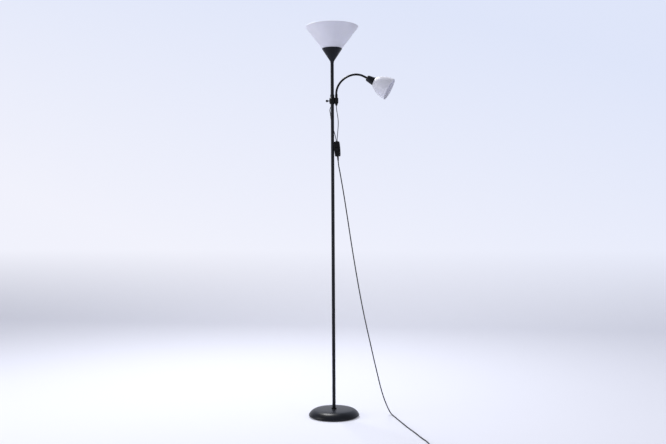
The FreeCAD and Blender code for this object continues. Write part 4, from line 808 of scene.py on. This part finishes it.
WING_SIZE = Vector((8.4, 21.6, 8.6)) * MM
HUB_REACH = 3 * MM
TIP_START = 9 * MM
wing_middle = Vector((-24.9, 0.0, CLAMP_HEIGHT_Z)) * MM
bpy.ops.object.select_all(action="DESELECT")
bpy.ops.mesh.primitive_cube_add(size=1, location=wing_middle, scale=WING_SIZE)
wing = bpy.context.active_object
wing.name = "clamp_wing"
bpy.ops.object.transform_apply()
bpy.ops.object.mode_set(mode="EDIT")
bpy.ops.mesh.select_all(action="SELECT")
bpy.ops.mesh.subdivide(number_cuts=4)
resize_where(wing, lambda place: abs(place.y) < HUB_REACH, (1.0, 1.0, 1.15), wing_middle)
resize_where(wing, lambda place: abs(place.y) > TIP_START, (0.7, 1.0, 0.6), wing_middle)
bpy.ops.object.mode_set(mode="OBJECT")
rounding = wing.modifiers.new("rounding", "SUBSURF")
rounding.levels = rounding.render_levels = 2
bpy.ops.object.modifier_apply(modifier=rounding.name)
bpy.ops.object.shade_smooth()
mount(wing, "black_plastic", "thumbscrew", "thumbscrew_wing")

# %% [markdown]
# ## Strain relief and plug pins
# The cord leaves the switch through a soft rubber relief. Its ribs thin out downwards, so the
# cord bends in a gentle curve and not at one place. The plug's pins are nickel plated and
# sleeved in black near the plug, so that no live metal shows when it is half pulled out.

# %% The ribbed relief under the switch
SWITCH_LEAN = math.radians(-4.0)
CORD_HOLE = 2.55
RELIEF_RIBS = 8
RIB_STEP = 2.6
RIB_TAPER = 0.15
GROOVE_DEPTH = 0.7
switch_place = Matrix.Translation(Vector((21.6, 0.0, 1207.5)) * MM) @ Matrix.Rotation(
    SWITCH_LEAN, 4, "Y")
ribs = [(CORD_HOLE, -33.4), (4.4, -33.4)]
for k in range(RELIEF_RIBS):
    top = -34.4 - RIB_STEP * k
    reach = 4.4 - RIB_TAPER * k
    groove = reach - GROOVE_DEPTH
    ribs += [(reach, top), (reach, top - 1.5), (groove, top - 1.8), (groove, top - 2.4)]
ribs.append((CORD_HOLE, -55.0))
relief = placed(soften(turned("cord_ribbed_relief", ribs, corners=40), 0.1), switch_place)
mount(relief, "black_rubber", "stand", "cord_relief")

# %% The plug's pins
PIN_SPACING = 18.6
BARE_PIN = [(1.7, 61.0), (2.0, 62.0), (2.0, 69.8), (1.65, 70.6), (0.8, 71.0)]
PIN_SLEEVE = [(1.9, 50.0), (1.9, 61.8), (1.6, 62.0)]
cord_end = Vector(SUPPLY_CORD_ROUTE[-1]) * MM
plug_way = (cord_end - Vector(SUPPLY_CORD_ROUTE[-2]) * MM).normalized()
upwards = Vector((0, 0, 1))
plug_place = Matrix.Translation(cord_end) @ Matrix(
    (upwards.cross(plug_way), upwards, plug_way)).transposed().to_4x4()
for k, side in enumerate((-1, 1)):
    pin_place = plug_place @ Matrix.Translation((side * PIN_SPACING / 2 * MM, 0, 0))
    bare = turned("plug_pin_%d" % (k + 1), BARE_PIN, corners=40, solid=True)
    sleeve = turned("plug_pin_sleeve_%d" % (k + 1), PIN_SLEEVE, corners=40, solid=True)
    for piece, slot in ((bare, "nickel_pins"), (sleeve, "plug_plastic")):
        mount(placed(soften(piece, 0.08), pin_place), slot, "stand", "plug_pins")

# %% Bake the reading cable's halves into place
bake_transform(reading_lower)
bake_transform(reading_upper)

# %% [markdown]
# ## Floor, backdrop and light
# The lamp stands on a seamless pale sweep. The sweep is partly lit and partly shows a glow to
# the camera, so it stays pale and still takes the lamp's soft shadow. The glow is painted a
# little darker and bluer upward and to the right: painted shade for the light's falloff.

# %% The sweep
SWEEP_HALF = 9.0
SWEEP_BACK = 3.2
SWEEP_BEND = 1.6
BEND_STEPS = 16
SWEEP_RISE = 6.0


def paper_sweep():
    """A floor that rises into a backdrop behind the lamp."""
    bpy.ops.object.select_all(action="DESELECT")
    bpy.ops.mesh.primitive_plane_add(size=2 * SWEEP_HALF, location=(0, SWEEP_BACK - SWEEP_HALF, 0))
    sweep = bpy.context.active_object
    sweep.name = "paper_sweep"
    bpy.ops.object.transform_apply()
    bpy.ops.object.mode_set(mode="EDIT")
    bpy.ops.mesh.select_mode(type="EDGE")
    bpy.ops.mesh.select_all(action="DESELECT")
    mesh = bmesh.from_edit_mesh(sweep.data)
    for edge in mesh.edges:
        edge.select_set(all(vertex.co.y > SWEEP_BACK - 1e-4 for vertex in edge.verts))
    bmesh.update_edit_mesh(sweep.data)
    before = Vector((0.0, 0.0))
    for k in range(BEND_STEPS):
        turn = math.pi / 2 * (k + 1) / BEND_STEPS
        after = Vector((math.sin(turn), 1 - math.cos(turn))) * SWEEP_BEND
        step = after - before
        bpy.ops.mesh.extrude_region_move(TRANSFORM_OT_translate={"value": (0, step.x, step.y)})
        before = after
    bpy.ops.mesh.extrude_region_move(TRANSFORM_OT_translate={"value": (0, 0, SWEEP_RISE)})
    bpy.ops.mesh.select_all(action="SELECT")
    bpy.ops.mesh.normals_make_consistent(inside=False)
    bpy.ops.object.mode_set(mode="OBJECT")
    bpy.ops.object.shade_smooth()
    return sweep


# How fast the backdrop's glow is painted darker upward and to the right: painted shade.
PAINTED_SHADE_PER_METRE_UP = 0.30
PAINTED_SHADE_PER_METRE_RIGHT = 0.10
PAINTED_SHADE_AT_LAMP = 0.08
OWN_SHARE_FLOOR = 0.32
OWN_SHARE_BACKDROP = 0.97


def paper_material():
    """Pale paper: shaded where shadows fall; elsewhere a pale glow painted darker upward and right.
    """
    material, tree, shader, place = new_finish("pale_paper")
    axes = add_node(tree, "ShaderNodeSeparateXYZ", {"Vector": place})
    # Painted shade: the glow's colour darkens and turns bluer upward and to the right.
    rise = add_node(tree, "ShaderNodeMath", {
        0: axes.outputs["Z"], 1: PAINTED_SHADE_PER_METRE_UP, 2: PAINTED_SHADE_AT_LAMP}, operation="MULTIPLY_ADD")
    painted_falloff = add_node(tree, "ShaderNodeMath", {
        0: axes.outputs["X"], 1: PAINTED_SHADE_PER_METRE_RIGHT, 2: rise.outputs[0]},
        operation="MULTIPLY_ADD")
    tone = add_node(tree, "ShaderNodeValToRGB", {"Fac": painted_falloff.outputs[0]})
    tone.color_ramp.elements[0].color = linear("#F3F4FE")
    tone.color_ramp.elements[1].color = linear("#E0E7FB")
    glow = add_node(tree, "ShaderNodeEmission", {"Color": tone.outputs["Color"]})
    paths = add_node(tree, "ShaderNodeLightPath")
    seen = add_node(tree, "ShaderNodeMath", {
        0: paths.outputs["Is Camera Ray"], 1: paths.outputs["Is Glossy Ray"]}, operation="MAXIMUM")
    seen_through = add_node(tree, "ShaderNodeMath", {
        0: seen.outputs[0], 1: paths.outputs["Is Transmission Ray"]}, operation="MAXIMUM")
    own = add_node(tree, "ShaderNodeMapRange", {
        "Value": axes.outputs["Z"], "From Min": 0.0, "From Max": 0.6,
        "To Min": OWN_SHARE_FLOOR, "To Max": OWN_SHARE_BACKDROP})
    share = add_node(tree, "ShaderNodeMath", {
        0: seen_through.outputs[0], 1: own.outputs["Result"]}, operation="MULTIPLY")
    both = add_node(tree, "ShaderNodeMixShader", {
        0: share.outputs[0], 1: shader.outputs["BSDF"], 2: glow.outputs["Emission"]})
    tree.links.new(both.outputs["Shader"], tree.nodes["Material Output"].inputs["Surface"])
    set_constants(shader, Base_Color=linear("#DEE0EB"), Roughness=0.9, Specular_IOR_Level=0.0)
    return material


backdrop = paper_sweep()
backdrop.data.materials.append(paper_material())


# %% World and lamps
def soft_box(name, place, size, power, aim=(0.0, 0.0, 0.9)):
    """A square soft light that points at the lamp."""
    light = bpy.data.lights.new(name, "AREA")
    light.shape = "SQUARE"
    light.size = size
    light.energy = power
    box = bpy.data.objects.new(name, light)
    box.location = place
    box.rotation_euler = (Vector(aim) - Vector(place)).to_track_quat("-Z", "Y").to_euler()
    bpy.context.scene.collection.objects.link(box)


world = bpy.data.worlds.new("studio_air")
world.use_nodes = True
world.node_tree.nodes["Background"].inputs["Color"].default_value = linear("#EEF0F9")
world.node_tree.nodes["Background"].inputs["Strength"].default_value = 0.58
bpy.context.scene.world = world
bpy.context.scene.view_settings.view_transform = "Standard"
soft_box("overhead_box", (-0.9, 1.1, 3.1), 0.7, 90.0, aim=(0.0, 0.0, 0.2))
soft_box("left_box", (-3.4, -1.6, 1.7), 2.0, 50.0, aim=(0.0, 0.0, 1.4))
soft_box("right_box", (2.8, -1.9, 1.0), 1.4, 14.0, aim=(0.0, 0.0, 1.4))

# %% [markdown]
# ## Update the scene
# The view layer is updated once more, so every piece stands where it was put.

# %% Update the view layer
bpy.context.view_layer.update()
